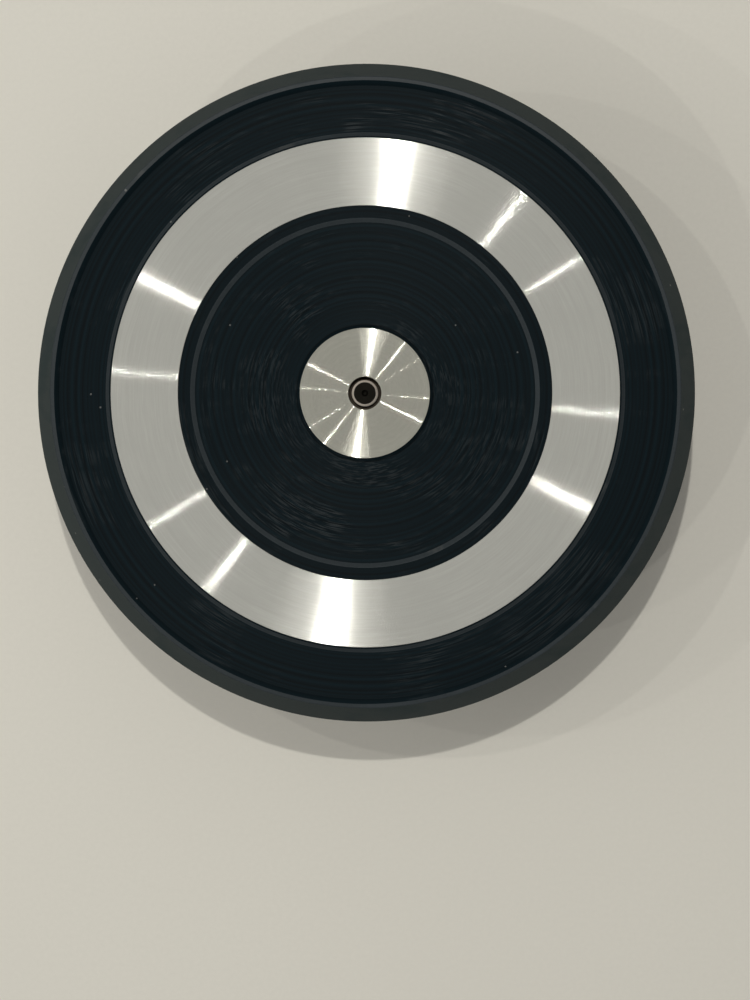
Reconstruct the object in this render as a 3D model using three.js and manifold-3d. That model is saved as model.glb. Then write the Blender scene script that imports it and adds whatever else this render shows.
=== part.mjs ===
// A banding wheel: a heavy round head on a cast pedestal, which a potter spins by hand.
// Millimetres, +Z up, origin on the floor at the spin axis. Every size below is a real size.
import * as THREE from "three";
import { mergeVertices } from "three/addons/utils/BufferGeometryUtils.js";
import Module from "manifold-3d";

const wasm = await Module();
wasm.setup();

// ---------------------------------------------------------------- driving dimensions

// Overall
const HEAD_RADIUS = 152.4;
const TOP_Z = 110;

// Wheel head, from the rim inwards: each width is measured along the top
const LIP_WIDTH = 8; // sloping outer band
const LIP_DROP = 13; // how far the band falls from its crest to the outer edge
const EDGE_ROUND = 1; // rounding of the outer edge, top and bottom
const EDGE_HEIGHT = 3; // upright strip below the sloping band
const CREST_WIDTH = 1.9; // flat crest of the lip
const STEP_WIDTH = 2.1; // sloping side of the lip, down to the outer recess
const OUTER_RECESS_WIDTH = 21.5;
const OUTER_BEVEL_WIDTH = 1.6; // from the recess up to the narrow shoulder
const SHOULDER_WIDTH = 0.7; // narrow shoulder beside the bright ring
const RING_WIDTH = 31; // bright machined ring, level with the centre disc
const LEDGE_WIDTH = 5.7; // flat ledge inside the bright ring
const INNER_BEVEL_WIDTH = 2; // from the ledge down to the inner recess
const LAND_CHAMFER = 0.3; // broken edge on every machined land
const CENTRE_LAND_RADIUS = 29.7;
const CENTRE_COVE_WIDTH = 1.6; // hollow curve from the inner recess up to the centre disc
const RECESS_DEPTH = 1.5;
const LEDGE_DEPTH = 0.5;
const PLATE_THICKNESS = 6; // below the recesses
const SKIRT_WALL = 5;
const SKIRT_FILLET = 4;
const HUB_WALL = 15; // around the spindle bore
const HUB_LENGTH = 26.5; // below the plate
const HUB_FILLET = 6;
const HUB_CHAMFER = 1;
const COUNTERBORE_GAP = 1.6; // beside the spindle's end
const COUNTERBORE_DEPTH = 6;

// Spindle
const SPINDLE_RADIUS = 6;
const SPINDLE_CHAMFER = 1;
const SPINDLE_SUNK = 1.6; // spindle end below the machined lands
const COLLAR_INSET = 0.25; // collar and spacer inside the inner races' shoulders
const COLLAR_LENGTH = 5; // from the upper bearing to the hub
const SPINDLE_TAIL = 2; // below the lower retaining ring

// Bearings: two alike, single row, deep groove
const BEARING_RADIUS = 16;
const BEARING_WIDTH = 10;
const BALL_SHARE = 0.5952; // ball diameter over the bearing's radial depth
const RACE_SHARE = 0.315; // each race's wall at its shoulder, over the radial depth
const BALLS_PER_BEARING = 7;
const GROOVE_CONFORMITY = 1.04; // groove radius over ball radius
const RACE_CHAMFER = 0.5;
const CAGE_BASE = 0.75; // cage material under each ball
const CAGE_RISE = 1.2; // cage above the ball centres
const SEAL_THICKNESS = 0.8;
const SEAL_INSET = 0.1;

// Retaining rings, washer and shaft seal
const SPINDLE_RING_WIDTH = 2.4;
const SPINDLE_RING_THICKNESS = 1.1;
const SPINDLE_GROOVE_DEPTH = 0.5;
const HOUSING_RING_WIDTH = 2.8;
const HOUSING_RING_THICKNESS = 1.2;
const HOUSING_GROOVE_DEPTH = 0.6;
const RING_GAP_DEG = 44; // opening of each retaining ring
const WASHER_THICKNESS = 0.8;
const SHAFT_SEAL_WIDTH = 3.4;
const SHAFT_SEAL_HEIGHT = 3;

// Pedestal
const BASE_RADIUS = 88;
const RIM_HEIGHT = 9; // upright edge of the base, fillet included
const RIM_FILLET = 3;
const RIM_WALL = 5;
const BELL_WALL = 5;
const FLANGE_SHARE = 0.754; // how far in the flange stays shallow, of the way to the neck
const FLANGE_RISE = 6;
const BELL_PULL = 0.66; // how low on the neck the bell begins to flare, 0 to 1
const NECK_WALL = 8; // around the bearings
const NECK_STRAIGHT = 12; // straight part of the neck, at its top
const NECK_CHAMFER = 1.2;
const HEAD_GAP = 2.5; // between the neck and the hub
const HOUSING_SHOULDER = 2; // step that each outer race rests against
const CAP_CLEARANCE_Z = 8; // housing mouth above the bottom of the base

// Bottom cap and its screws
const CAP_THICKNESS = 2;
const CAP_SPIGOT_WALL = 2.5;
const CAP_SCREW_COUNT = 3;
const CAP_SCREW_INSET = 4.5; // screw circle outside the bearing seat, and inside the boss
const CAP_EDGE_INSET = 0.5;

// Feet and their screws
const FOOT_COUNT = 4;
const FOOT_HEIGHT = 5;
const FOOT_RADIUS = 9.5;
const FOOT_TAPER = 1;
const FOOT_INSET = 14; // foot circle inside the base's edge
const FOOT_BOSS_RADIUS = 10;
const FOOT_BOSS_SUNK = 0.3; // boss top inside the flange
const FOOT_SCREW_RECESS = 2.6;
const FOOT_SCREW_GRIP = 7.5; // length of thread in the boss

// Screws
const SCREW_RADIUS = 2;
const SCREW_HEAD_RADIUS = 3.6;
const SCREW_HEAD_HEIGHT = 2.1;
const SCREW_SOCKET_RADIUS = 1.45; // to the socket's corners
const SCREW_SOCKET_DEPTH = 1.2;
const CAP_SCREW_GRIP = 9;
const SET_SCREW_COUNT = 2;
const SET_SCREW_SPACING_DEG = 90;
const SET_SCREW_RADIUS = 3;
const SET_SCREW_LENGTH = 10;
const SET_SCREW_SOCKET_RADIUS = 1.7;
const SET_SCREW_SOCKET_DEPTH = 3;

// Clearances
const SEAT_CLEARANCE = 0.03; // ground seats, which turn or stay together
const ROLLING_CLEARANCE = 0.28; // ball to groove, more than the flats of the faceted races take up
const CAGE_CLEARANCE = 0.65; // cage to each race's shoulder
const POCKET_CLEARANCE = 0.25; // ball to cage
const LIP_CLEARANCE = 0.3; // seal lip to inner race
const LOOSE_CLEARANCE = 0.3; // screws in their holes, rings in their grooves
const HOLE_END_CLEARANCE = 0.5; // past a screw's tip
const CUT_OVERRUN = 1; // how far a cutter starts outside the face it cuts

// Smoothness
const HEAD_SIDES = 60;
const BEARING_SIDES = 24;
const PEDESTAL_SIDES = 2 * BEARING_SIDES; // so that the corners of a race and of its seat line up
const FOOT_SIDES = 16;
const SCREW_SIDES = 12;
const BALL_SIDES = 10;
const BALL_RINGS = 6;
const BELL_STEPS = 8;
const FILLET_STEPS = 3;
const GROOVE_STEPS = 4;

// ---------------------------------------------------------------- sizes that follow

const landZ = TOP_Z;
const recessZ = TOP_Z - RECESS_DEPTH;
const ledgeZ = TOP_Z - LEDGE_DEPTH;
const plateUnderZ = recessZ - PLATE_THICKNESS;
const hubBottomZ = plateUnderZ - HUB_LENGTH;

const spindleBore = SPINDLE_RADIUS + SEAT_CLEARANCE;
const collarBottomZ = hubBottomZ - COLLAR_LENGTH;
const upperBearingZ = collarBottomZ - BEARING_WIDTH / 2;
const neckTopZ = hubBottomZ - HEAD_GAP;
const housingMouthZ = FOOT_HEIGHT + CAP_CLEARANCE_Z;
const ringStackHeight = SPINDLE_TAIL + SPINDLE_RING_THICKNESS + WASHER_THICKNESS;
const lowerRaceBottomZ = housingMouthZ + CAP_THICKNESS + ringStackHeight;
const lowerBearingZ = lowerRaceBottomZ + BEARING_WIDTH / 2;
const spindleBottomZ = lowerRaceBottomZ - ringStackHeight;
const spindleRingZ = lowerRaceBottomZ - WASHER_THICKNESS - SPINDLE_RING_THICKNESS;

const bearingDepth = BEARING_RADIUS - SPINDLE_RADIUS;
const ballRadius = (BALL_SHARE * bearingDepth) / 2;
const ballCircle = (SPINDLE_RADIUS + BEARING_RADIUS) / 2;
const innerShoulder = SPINDLE_RADIUS + RACE_SHARE * bearingDepth;
const outerShoulder = BEARING_RADIUS - RACE_SHARE * bearingDepth;
const grooveRadius = ballRadius * GROOVE_CONFORMITY;
const collarRadius = innerShoulder - COLLAR_INSET;
const cageWall = outerShoulder - innerShoulder - 2 * CAGE_CLEARANCE;

const seatRadius = BEARING_RADIUS + SEAT_CLEARANCE;
const neckRadius = BEARING_RADIUS + NECK_WALL;
const capScrewCircle = BEARING_RADIUS + CAP_SCREW_INSET;
const bossRadius = capScrewCircle + CAP_SCREW_INSET;
const screwHole = SCREW_RADIUS + LOOSE_CLEARANCE;

const footCircle = BASE_RADIUS - FOOT_INSET;
const flangeRun = FLANGE_SHARE * (BASE_RADIUS - RIM_FILLET - neckRadius);
const rimTopZ = FOOT_HEIGHT + RIM_HEIGHT;

// ---------------------------------------------------------------- helpers

const point = (r, z) => new THREE.Vector2(r, z);
const acosDeg = (cosine) => THREE.MathUtils.radToDeg(Math.acos(cosine));

// Points of an arc about (r, z), both ends included, angles in degrees from +r towards +z.
function arc(r, z, radius, fromDeg, toDeg, steps = FILLET_STEPS) {
  return Array.from({ length: steps + 1 }, (_, i) => {
    const angle = THREE.MathUtils.degToRad(fromDeg + ((toDeg - fromDeg) * i) / steps);
    return point(r + radius * Math.cos(angle), z + radius * Math.sin(angle));
  });
}

// A solid of revolution about Z.
// The outline runs counterclockwise in (r, z) and closes on itself or on the axis.
function turned(outline, sides) {
  const onAxis = outline[0].x === 0;
  const profile = onAxis ? outline : [...outline, outline[0]];
  return new THREE.LatheGeometry(profile, sides).rotateX(Math.PI / 2);
}

// A plain ring with a rectangular section, its underside at z = 0.
function ring(innerRadius, outerRadius, height, sides = BEARING_SIDES) {
  return turned(
    [
      point(innerRadius, 0),
      point(outerRadius, 0),
      point(outerRadius, height),
      point(innerRadius, height),
    ],
    sides,
  );
}

// A round bar about Z from z = 0 up.
function bar(radius, height, sides) {
  const upright = new THREE.CylinderGeometry(radius, radius, height, sides).rotateX(Math.PI / 2);
  return upright.translate(0, 0, height / 2);
}

function solidOf(geometry) {
  const bare = geometry.clone().deleteAttribute("normal").deleteAttribute("uv");
  const merged = mergeVertices(bare, 1e-4);
  return new wasm.Manifold(
    new wasm.Mesh({
      numProp: 3,
      vertProperties: merged.attributes.position.array,
      triVerts: new Uint32Array(merged.index.array),
    }),
  );
}

function geometryOf(solid) {
  const { vertProperties, triVerts } = solid.getMesh();
  const geometry = new THREE.BufferGeometry();
  geometry.setAttribute("position", new THREE.BufferAttribute(vertProperties, 3));
  geometry.setIndex(new THREE.BufferAttribute(triVerts, 1));
  geometry.computeVertexNormals();
  return geometry;
}

// The body with the additions joined to it and then the cutters taken away.
function shaped(body, additions, cutters) {
  const joined = additions.reduce((solid, extra) => solid.add(solidOf(extra)), solidOf(body));
  return geometryOf(cutters.reduce((solid, cutter) => solid.subtract(solidOf(cutter)), joined));
}

// Angles in radians of count places spread evenly about Z.
function spread(count, startDeg = 0) {
  const start = THREE.MathUtils.degToRad(startDeg);
  return Array.from({ length: count }, (_, i) => start + (2 * Math.PI * i) / count);
}

// A copy of a geometry moved out to a radius and turned about Z.
function placed(geometry, radius, angle, z) {
  return geometry.clone().translate(radius, 0, z).rotateZ(angle);
}

function piece(name, geometry, color, roughness, metalness) {
  const mesh = new THREE.Mesh(geometry, new THREE.MeshStandardMaterial({ color, roughness, metalness }));
  mesh.name = name;
  return mesh;
}

const finish = {
  casting: [0x17191b, 0.42, 0.3],
  groundSteel: [0x9a8d80, 0.28, 1],
  bearingSteel: [0xb9bcc0, 0.15, 1],
  darkSteel: [0x3a3c3f, 0.4, 1],
  zincSteel: [0xa7a9a6, 0.35, 1],
  nylon: [0xd8d2bd, 0.6, 0],
  rubber: [0x1b1b1b, 0.85, 0],
};

// ---------------------------------------------------------------- wheel head

// Radii of the head's top, worked out from the rim inwards.
function headRadii() {
  const crestOuter = HEAD_RADIUS - LIP_WIDTH;
  const crestInner = crestOuter - CREST_WIDTH;
  const outerRecessOuter = crestInner - STEP_WIDTH;
  const outerRecessInner = outerRecessOuter - OUTER_RECESS_WIDTH;
  const shoulderOuter = outerRecessInner - OUTER_BEVEL_WIDTH;
  const ringOuter = shoulderOuter - SHOULDER_WIDTH;
  const ringInner = ringOuter - RING_WIDTH;
  const ledgeInner = ringInner - LEDGE_WIDTH;
  const innerRecessOuter = ledgeInner - INNER_BEVEL_WIDTH;
  return {
    crestOuter,
    crestInner,
    outerRecessOuter,
    outerRecessInner,
    shoulderOuter,
    ringOuter,
    ringInner,
    ledgeInner,
    innerRecessOuter,
  };
}

function headUnderside() {
  const hubRadius = SPINDLE_RADIUS + HUB_WALL;
  const skirtInner = HEAD_RADIUS - SKIRT_WALL;
  const skirtBottomZ = landZ - LIP_DROP - EDGE_HEIGHT;
  return [
    point(spindleBore, hubBottomZ),
    point(hubRadius - HUB_CHAMFER, hubBottomZ),
    point(hubRadius, hubBottomZ + HUB_CHAMFER),
    ...arc(hubRadius + HUB_FILLET, plateUnderZ - HUB_FILLET, HUB_FILLET, 180, 90),
    ...arc(skirtInner - SKIRT_FILLET, plateUnderZ - SKIRT_FILLET, SKIRT_FILLET, 90, 0),
    point(skirtInner, skirtBottomZ),
    point(HEAD_RADIUS - EDGE_ROUND, skirtBottomZ),
    point(HEAD_RADIUS, skirtBottomZ + EDGE_ROUND),
    point(HEAD_RADIUS, landZ - LIP_DROP - EDGE_ROUND),
    point(HEAD_RADIUS - EDGE_ROUND / 2, landZ - LIP_DROP + EDGE_ROUND),
  ];
}

function headTop() {
  const at = headRadii();
  const counterbore = SPINDLE_RADIUS + COUNTERBORE_GAP;
  return [
    point(at.crestOuter, landZ),
    point(at.crestInner, landZ),
    point(at.outerRecessOuter, recessZ),
    point(at.outerRecessInner, recessZ),
    point(at.shoulderOuter, ledgeZ),
    point(at.ringOuter, ledgeZ),
    point(at.ringOuter - LAND_CHAMFER, landZ),
    point(at.ringInner + LAND_CHAMFER, landZ),
    point(at.ringInner, ledgeZ),
    point(at.ledgeInner, ledgeZ),
    point(at.innerRecessOuter, recessZ),
    ...arc(CENTRE_LAND_RADIUS + CENTRE_COVE_WIDTH, landZ, RECESS_DEPTH, 270, 180, 2),
    point(CENTRE_LAND_RADIUS, landZ),
    point(counterbore, landZ),
    point(counterbore, landZ - COUNTERBORE_DEPTH),
    point(spindleBore, landZ - COUNTERBORE_DEPTH),
  ];
}

const setScrewZ = (hubBottomZ + plateUnderZ) / 2;
const setScrewAngles = Array.from({ length: SET_SCREW_COUNT }, (_, i) =>
  THREE.MathUtils.degToRad(i * SET_SCREW_SPACING_DEG),
);

function wheelHeadGeometry() {
  const hubRadius = SPINDLE_RADIUS + HUB_WALL;
  const hole = bar(SET_SCREW_RADIUS + LOOSE_CLEARANCE, hubRadius, SCREW_SIDES).rotateY(Math.PI / 2);
  const holes = setScrewAngles.map((angle) => placed(hole, SPINDLE_RADIUS / 2, angle, setScrewZ));
  return shaped(turned([...headUnderside(), ...headTop()], HEAD_SIDES), [], holes);
}

// A headless screw along +X, its tip at x = 0 and its socket at the outer end.
function setScrewGeometry() {
  const blank = turned(
    [
      point(0, 0),
      point(SET_SCREW_RADIUS - RACE_CHAMFER, 0),
      point(SET_SCREW_RADIUS, RACE_CHAMFER),
      point(SET_SCREW_RADIUS, SET_SCREW_LENGTH),
      point(0, SET_SCREW_LENGTH),
    ],
    SCREW_SIDES,
  );
  const socket = bar(SET_SCREW_SOCKET_RADIUS, SET_SCREW_LENGTH, 6);
  socket.translate(0, 0, SET_SCREW_LENGTH - SET_SCREW_SOCKET_DEPTH);
  return shaped(blank, [], [socket]).rotateY(Math.PI / 2);
}

// ---------------------------------------------------------------- spindle and what is fixed to it

function spindleGeometry() {
  const endZ = landZ - SPINDLE_SUNK;
  const groove = SPINDLE_RADIUS - SPINDLE_GROOVE_DEPTH - LOOSE_CLEARANCE;
  return turned(
    [
      point(0, spindleBottomZ),
      point(SPINDLE_RADIUS - SPINDLE_CHAMFER, spindleBottomZ),
      point(SPINDLE_RADIUS, spindleBottomZ + SPINDLE_CHAMFER),
      point(SPINDLE_RADIUS, spindleRingZ),
      point(groove, spindleRingZ),
      point(groove, spindleRingZ + SPINDLE_RING_THICKNESS),
      point(SPINDLE_RADIUS, spindleRingZ + SPINDLE_RING_THICKNESS),
      point(SPINDLE_RADIUS, collarBottomZ),
      point(collarRadius, collarBottomZ),
      point(collarRadius, hubBottomZ),
      point(SPINDLE_RADIUS, hubBottomZ),
      point(SPINDLE_RADIUS, endZ - SPINDLE_CHAMFER),
      point(SPINDLE_RADIUS - SPINDLE_CHAMFER, endZ),
      point(0, endZ),
    ],
    BEARING_SIDES,
  );
}

// An open retaining ring, its underside at z = 0 and its gap towards +X.
function retainingRing(innerRadius, outerRadius, thickness) {
  const halfGap = THREE.MathUtils.degToRad(RING_GAP_DEG / 2);
  const outline = new THREE.Shape();
  outline.absarc(0, 0, outerRadius, halfGap, 2 * Math.PI - halfGap, false);
  outline.absarc(0, 0, innerRadius, 2 * Math.PI - halfGap, halfGap, true);
  return new THREE.ExtrudeGeometry(outline, {
    depth: thickness,
    bevelEnabled: false,
    curveSegments: BEARING_SIDES / 2,
  });
}

// ---------------------------------------------------------------- bearings, each about its own centre

function innerRaceGeometry() {
  const grooveBottom = ballCircle - ballRadius - ROLLING_CLEARANCE;
  const centre = grooveBottom + grooveRadius;
  const halfAngle = acosDeg((centre - innerShoulder) / grooveRadius);
  const half = BEARING_WIDTH / 2;
  return turned(
    [
      point(spindleBore, -half),
      point(innerShoulder - RACE_CHAMFER, -half),
      point(innerShoulder, RACE_CHAMFER - half),
      ...arc(centre, 0, grooveRadius, 180 + halfAngle, 180 - halfAngle, GROOVE_STEPS),
      point(innerShoulder, half - RACE_CHAMFER),
      point(innerShoulder - RACE_CHAMFER, half),
      point(spindleBore, half),
    ],
    BEARING_SIDES,
  );
}

function outerRaceGeometry() {
  const grooveBottom = ballCircle + ballRadius + ROLLING_CLEARANCE;
  const centre = grooveBottom - grooveRadius;
  const halfAngle = acosDeg((outerShoulder - centre) / grooveRadius);
  const half = BEARING_WIDTH / 2;
  return turned(
    [
      point(outerShoulder, -half),
      point(BEARING_RADIUS - RACE_CHAMFER, -half),
      point(BEARING_RADIUS, RACE_CHAMFER - half),
      point(BEARING_RADIUS, half - RACE_CHAMFER),
      point(BEARING_RADIUS - RACE_CHAMFER, half),
      point(outerShoulder, half),
      ...arc(centre, 0, grooveRadius, halfAngle, -halfAngle, GROOVE_STEPS),
    ],
    BEARING_SIDES,
  );
}

// A one-piece cage: a ring under the balls with a post between each pair.
function cageGeometry() {
  const pocket = ballRadius + POCKET_CLEARANCE;
  const base = -(pocket + CAGE_BASE);
  const blank = ring(ballCircle - cageWall / 2, ballCircle + cageWall / 2, CAGE_RISE - base);
  blank.translate(0, 0, base);
  const cutter = bar(pocket, 2 * cageWall, SCREW_SIDES).rotateY(Math.PI / 2);
  const pockets = spread(BALLS_PER_BEARING).map((angle) => placed(cutter, ballCircle - cageWall, angle, 0));
  return shaped(blank, [], pockets);
}

// One bearing as a group at height z. Its pieces are named after it.
function bearing(name, z) {
  const group = new THREE.Group();
  const half = BEARING_WIDTH / 2;
  const sealBore = innerShoulder + LIP_CLEARANCE;
  const sealRim = outerShoulder - SEAT_CLEARANCE;
  const seal = ring(sealBore, sealRim, SEAL_THICKNESS);
  const upperSeal = piece(`${name}_bearing_top_seal`, seal, ...finish.rubber);
  const lowerSeal = piece(`${name}_bearing_bottom_seal`, seal, ...finish.rubber);
  upperSeal.position.z = half - SEAL_INSET - SEAL_THICKNESS;
  lowerSeal.position.z = SEAL_INSET - half;
  group.add(
    piece(`${name}_inner_race`, innerRaceGeometry(), ...finish.bearingSteel),
    piece(`${name}_outer_race`, outerRaceGeometry(), ...finish.bearingSteel),
    piece(`${name}_ball_cage`, cageGeometry(), ...finish.nylon),
    upperSeal,
    lowerSeal,
  );
  const ballShape = new THREE.SphereGeometry(ballRadius, BALL_SIDES, BALL_RINGS).rotateX(Math.PI / 2);
  spread(BALLS_PER_BEARING).forEach((angle, i) => {
    const ball = piece(`${name}_ball_${i + 1}`, ballShape, ...finish.bearingSteel);
    ball.position.set(ballCircle * Math.cos(angle), ballCircle * Math.sin(angle), 0);
    group.add(ball);
  });
  group.position.z = z;
  return group;
}

// ---------------------------------------------------------------- pedestal

// The bell-shaped outside, from the rim up to the neck.
function bellCurve() {
  const start = point(BASE_RADIUS - RIM_FILLET, rimTopZ);
  const end = point(neckRadius, neckTopZ - NECK_STRAIGHT);
  const flange = point(start.x - flangeRun, start.y + FLANGE_RISE);
  const flare = point(neckRadius, end.y - BELL_PULL * (end.y - start.y));
  return new THREE.CubicBezierCurve(start, flange, flare, end);
}

// The inside of the bell: the outside moved in by the wall, from the rim up to the bearing boss.
function bellInside(curve) {
  const inside = Array.from({ length: BELL_STEPS + 1 }, (_, i) => {
    const along = i / BELL_STEPS;
    const here = curve.getPoint(along);
    const direction = curve.getTangent(along);
    return point(here.x - direction.y * BELL_WALL, here.y + direction.x * BELL_WALL);
  });
  const within = inside.filter((p) => p.x < BASE_RADIUS - RIM_WALL && p.x > bossRadius + BELL_WALL / 2);
  const last = within[within.length - 1];
  return [point(bossRadius, last.y), ...within.reverse()];
}

function pedestalGeometry() {
  const curve = bellCurve();
  const cavity = bellInside(curve);
  const rimInner = BASE_RADIUS - RIM_WALL;
  const shoulderRadius = BEARING_RADIUS - HOUSING_SHOULDER;
  const ringGroove = BEARING_RADIUS + HOUSING_GROOVE_DEPTH + LOOSE_CLEARANCE;
  const body = turned(
    [
      point(seatRadius, housingMouthZ),
      point(bossRadius, housingMouthZ),
      ...cavity,
      point(rimInner, cavity[cavity.length - 1].y),
      point(rimInner, FOOT_HEIGHT),
      point(BASE_RADIUS, FOOT_HEIGHT),
      ...arc(BASE_RADIUS - RIM_FILLET, rimTopZ - RIM_FILLET, RIM_FILLET, 0, 90),
      ...curve.getPoints(BELL_STEPS).slice(1),
      point(neckRadius, neckTopZ - NECK_CHAMFER),
      point(neckRadius - NECK_CHAMFER, neckTopZ),
      point(seatRadius, neckTopZ),
      point(seatRadius, collarBottomZ + HOUSING_RING_THICKNESS),
      point(ringGroove, collarBottomZ + HOUSING_RING_THICKNESS),
      point(ringGroove, collarBottomZ),
      point(seatRadius, collarBottomZ),
      point(seatRadius, collarBottomZ - BEARING_WIDTH),
      point(shoulderRadius, collarBottomZ - BEARING_WIDTH),
      point(shoulderRadius, lowerRaceBottomZ + BEARING_WIDTH),
      point(seatRadius, lowerRaceBottomZ + BEARING_WIDTH),
    ],
    PEDESTAL_SIDES,
  );
  const bossHeight = RIM_HEIGHT - FOOT_BOSS_SUNK;
  const boss = bar(FOOT_BOSS_RADIUS, bossHeight, FOOT_SIDES);
  const footHole = bar(screwHole, FOOT_SCREW_GRIP + HOLE_END_CLEARANCE + CUT_OVERRUN, SCREW_SIDES);
  const capHole = bar(screwHole, CAP_SCREW_GRIP + HOLE_END_CLEARANCE + CUT_OVERRUN, SCREW_SIDES);
  const footHoleZ = FOOT_HEIGHT - CUT_OVERRUN;
  const capHoleZ = housingMouthZ - CUT_OVERRUN;
  const bosses = footAngles.map((angle) => placed(boss, footCircle, angle, FOOT_HEIGHT));
  const footHoles = footAngles.map((angle) => placed(footHole, footCircle, angle, footHoleZ));
  const capHoles = capScrewAngles.map((angle) => placed(capHole, capScrewCircle, angle, capHoleZ));
  return shaped(body, bosses, [...footHoles, ...capHoles]);
}

const footAngles = spread(FOOT_COUNT, 45);
const capScrewAngles = spread(CAP_SCREW_COUNT, 90);

// ---------------------------------------------------------------- bottom cap, feet and screws

function capGeometry() {
  const spigotOuter = BEARING_RADIUS - SEAT_CLEARANCE;
  const body = turned(
    [
      point(0, -CAP_THICKNESS),
      point(bossRadius - CAP_EDGE_INSET, -CAP_THICKNESS),
      point(bossRadius - CAP_EDGE_INSET, 0),
      point(spigotOuter, 0),
      point(spigotOuter, lowerRaceBottomZ - housingMouthZ),
      point(spigotOuter - CAP_SPIGOT_WALL, lowerRaceBottomZ - housingMouthZ),
      point(spigotOuter - CAP_SPIGOT_WALL, 0),
      point(0, 0),
    ],
    PEDESTAL_SIDES,
  );
  const hole = bar(screwHole, 2 * CAP_THICKNESS, SCREW_SIDES);
  const holes = capScrewAngles.map((angle) => placed(hole, capScrewCircle, angle, -1.5 * CAP_THICKNESS));
  return shaped(body, [], holes);
}

// A socket-head screw that points up: the head's bearing face is at z = 0, the thread runs to z = grip.
function screwGeometry(grip) {
  const rounding = SCREW_HEAD_HEIGHT / 3;
  const blank = turned(
    [
      point(0, -SCREW_HEAD_HEIGHT),
      point(SCREW_HEAD_RADIUS - rounding, -SCREW_HEAD_HEIGHT),
      point(SCREW_HEAD_RADIUS, rounding - SCREW_HEAD_HEIGHT),
      point(SCREW_HEAD_RADIUS, 0),
      point(SCREW_RADIUS, 0),
      point(SCREW_RADIUS, grip - RACE_CHAMFER),
      point(SCREW_RADIUS - RACE_CHAMFER, grip),
      point(0, grip),
    ],
    SCREW_SIDES,
  );
  const socket = bar(SCREW_SOCKET_RADIUS, 2 * SCREW_SOCKET_DEPTH, 6);
  socket.translate(0, 0, -SCREW_HEAD_HEIGHT - SCREW_SOCKET_DEPTH);
  return shaped(blank, [], [socket]);
}

// A rubber foot about its own axis, its sole at z = 0, with a sunk seat for the screw head.
function footGeometry() {
  const recess = SCREW_HEAD_RADIUS + LOOSE_CLEARANCE;
  return turned(
    [
      point(recess, 0),
      point(FOOT_RADIUS - FOOT_TAPER, 0),
      point(FOOT_RADIUS, FOOT_HEIGHT - FOOT_TAPER),
      point(FOOT_RADIUS, FOOT_HEIGHT),
      point(screwHole, FOOT_HEIGHT),
      point(screwHole, FOOT_SCREW_RECESS),
      point(recess, FOOT_SCREW_RECESS),
    ],
    FOOT_SIDES,
  );
}

// ---------------------------------------------------------------- assembly

function turningGroup() {
  const group = new THREE.Group();
  const washerOuter = SPINDLE_RADIUS + SPINDLE_RING_WIDTH;
  const spacerLength = upperBearingZ - lowerBearingZ - BEARING_WIDTH;
  const sealBore = collarRadius + SEAT_CLEARANCE;
  const spacerShape = ring(spindleBore, collarRadius, spacerLength);
  const spacer = piece("race_spacer", spacerShape, ...finish.zincSteel);
  spacer.position.z = lowerBearingZ + BEARING_WIDTH / 2;
  const washerShape = ring(spindleBore, washerOuter, WASHER_THICKNESS);
  const washer = piece("spindle_washer", washerShape, ...finish.zincSteel);
  washer.position.z = lowerRaceBottomZ - WASHER_THICKNESS;
  const ringInner = SPINDLE_RADIUS - SPINDLE_GROOVE_DEPTH;
  const clip = piece(
    "spindle_retaining_ring",
    retainingRing(ringInner, ringInner + SPINDLE_RING_WIDTH, SPINDLE_RING_THICKNESS),
    ...finish.darkSteel,
  );
  clip.position.z = spindleRingZ;
  const seal = piece(
    "shaft_seal",
    ring(sealBore, sealBore + SHAFT_SEAL_WIDTH, SHAFT_SEAL_HEIGHT),
    ...finish.rubber,
  );
  seal.position.z = hubBottomZ - SHAFT_SEAL_HEIGHT;
  group.add(
    piece("wheel_head", wheelHeadGeometry(), ...finish.casting),
    piece("spindle", spindleGeometry(), ...finish.groundSteel),
    spacer,
    washer,
    clip,
    seal,
  );
  const setScrewShape = setScrewGeometry();
  setScrewAngles.forEach((angle, i) => {
    const arm = new THREE.Group();
    const screw = piece(`hub_set_screw_${i + 1}`, setScrewShape, ...finish.darkSteel);
    screw.position.set(SPINDLE_RADIUS + LOOSE_CLEARANCE, 0, setScrewZ);
    arm.rotation.z = angle;
    group.add(arm.add(screw));
  });
  return group;
}

function standingGroup() {
  const group = new THREE.Group();
  const ringOuter = BEARING_RADIUS + HOUSING_GROOVE_DEPTH;
  const clip = piece(
    "housing_retaining_ring",
    retainingRing(ringOuter - HOUSING_RING_WIDTH, ringOuter, HOUSING_RING_THICKNESS),
    ...finish.darkSteel,
  );
  clip.position.z = collarBottomZ;
  const cap = piece("bottom_cap", capGeometry(), ...finish.zincSteel);
  cap.position.z = housingMouthZ;
  group.add(piece("pedestal", pedestalGeometry(), ...finish.casting), clip, cap);
  const capScrewShape = screwGeometry(CAP_SCREW_GRIP);
  capScrewAngles.forEach((angle, i) => {
    const arm = new THREE.Group();
    const screw = piece(`cap_screw_${i + 1}`, capScrewShape, ...finish.zincSteel);
    screw.position.set(capScrewCircle, 0, housingMouthZ - CAP_THICKNESS);
    arm.rotation.z = angle;
    group.add(arm.add(screw));
  });
  const footShape = footGeometry();
  const footScrewShape = screwGeometry(FOOT_HEIGHT - FOOT_SCREW_RECESS + FOOT_SCREW_GRIP);
  footAngles.forEach((angle, i) => {
    const arm = new THREE.Group();
    const foot = piece(`rubber_foot_${i + 1}`, footShape, ...finish.rubber);
    const screw = piece(`foot_screw_${i + 1}`, footScrewShape, ...finish.zincSteel);
    foot.position.set(footCircle, 0, 0);
    screw.position.set(footCircle, 0, FOOT_SCREW_RECESS);
    arm.rotation.z = angle;
    group.add(arm.add(foot, screw));
  });
  return group;
}

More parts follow.
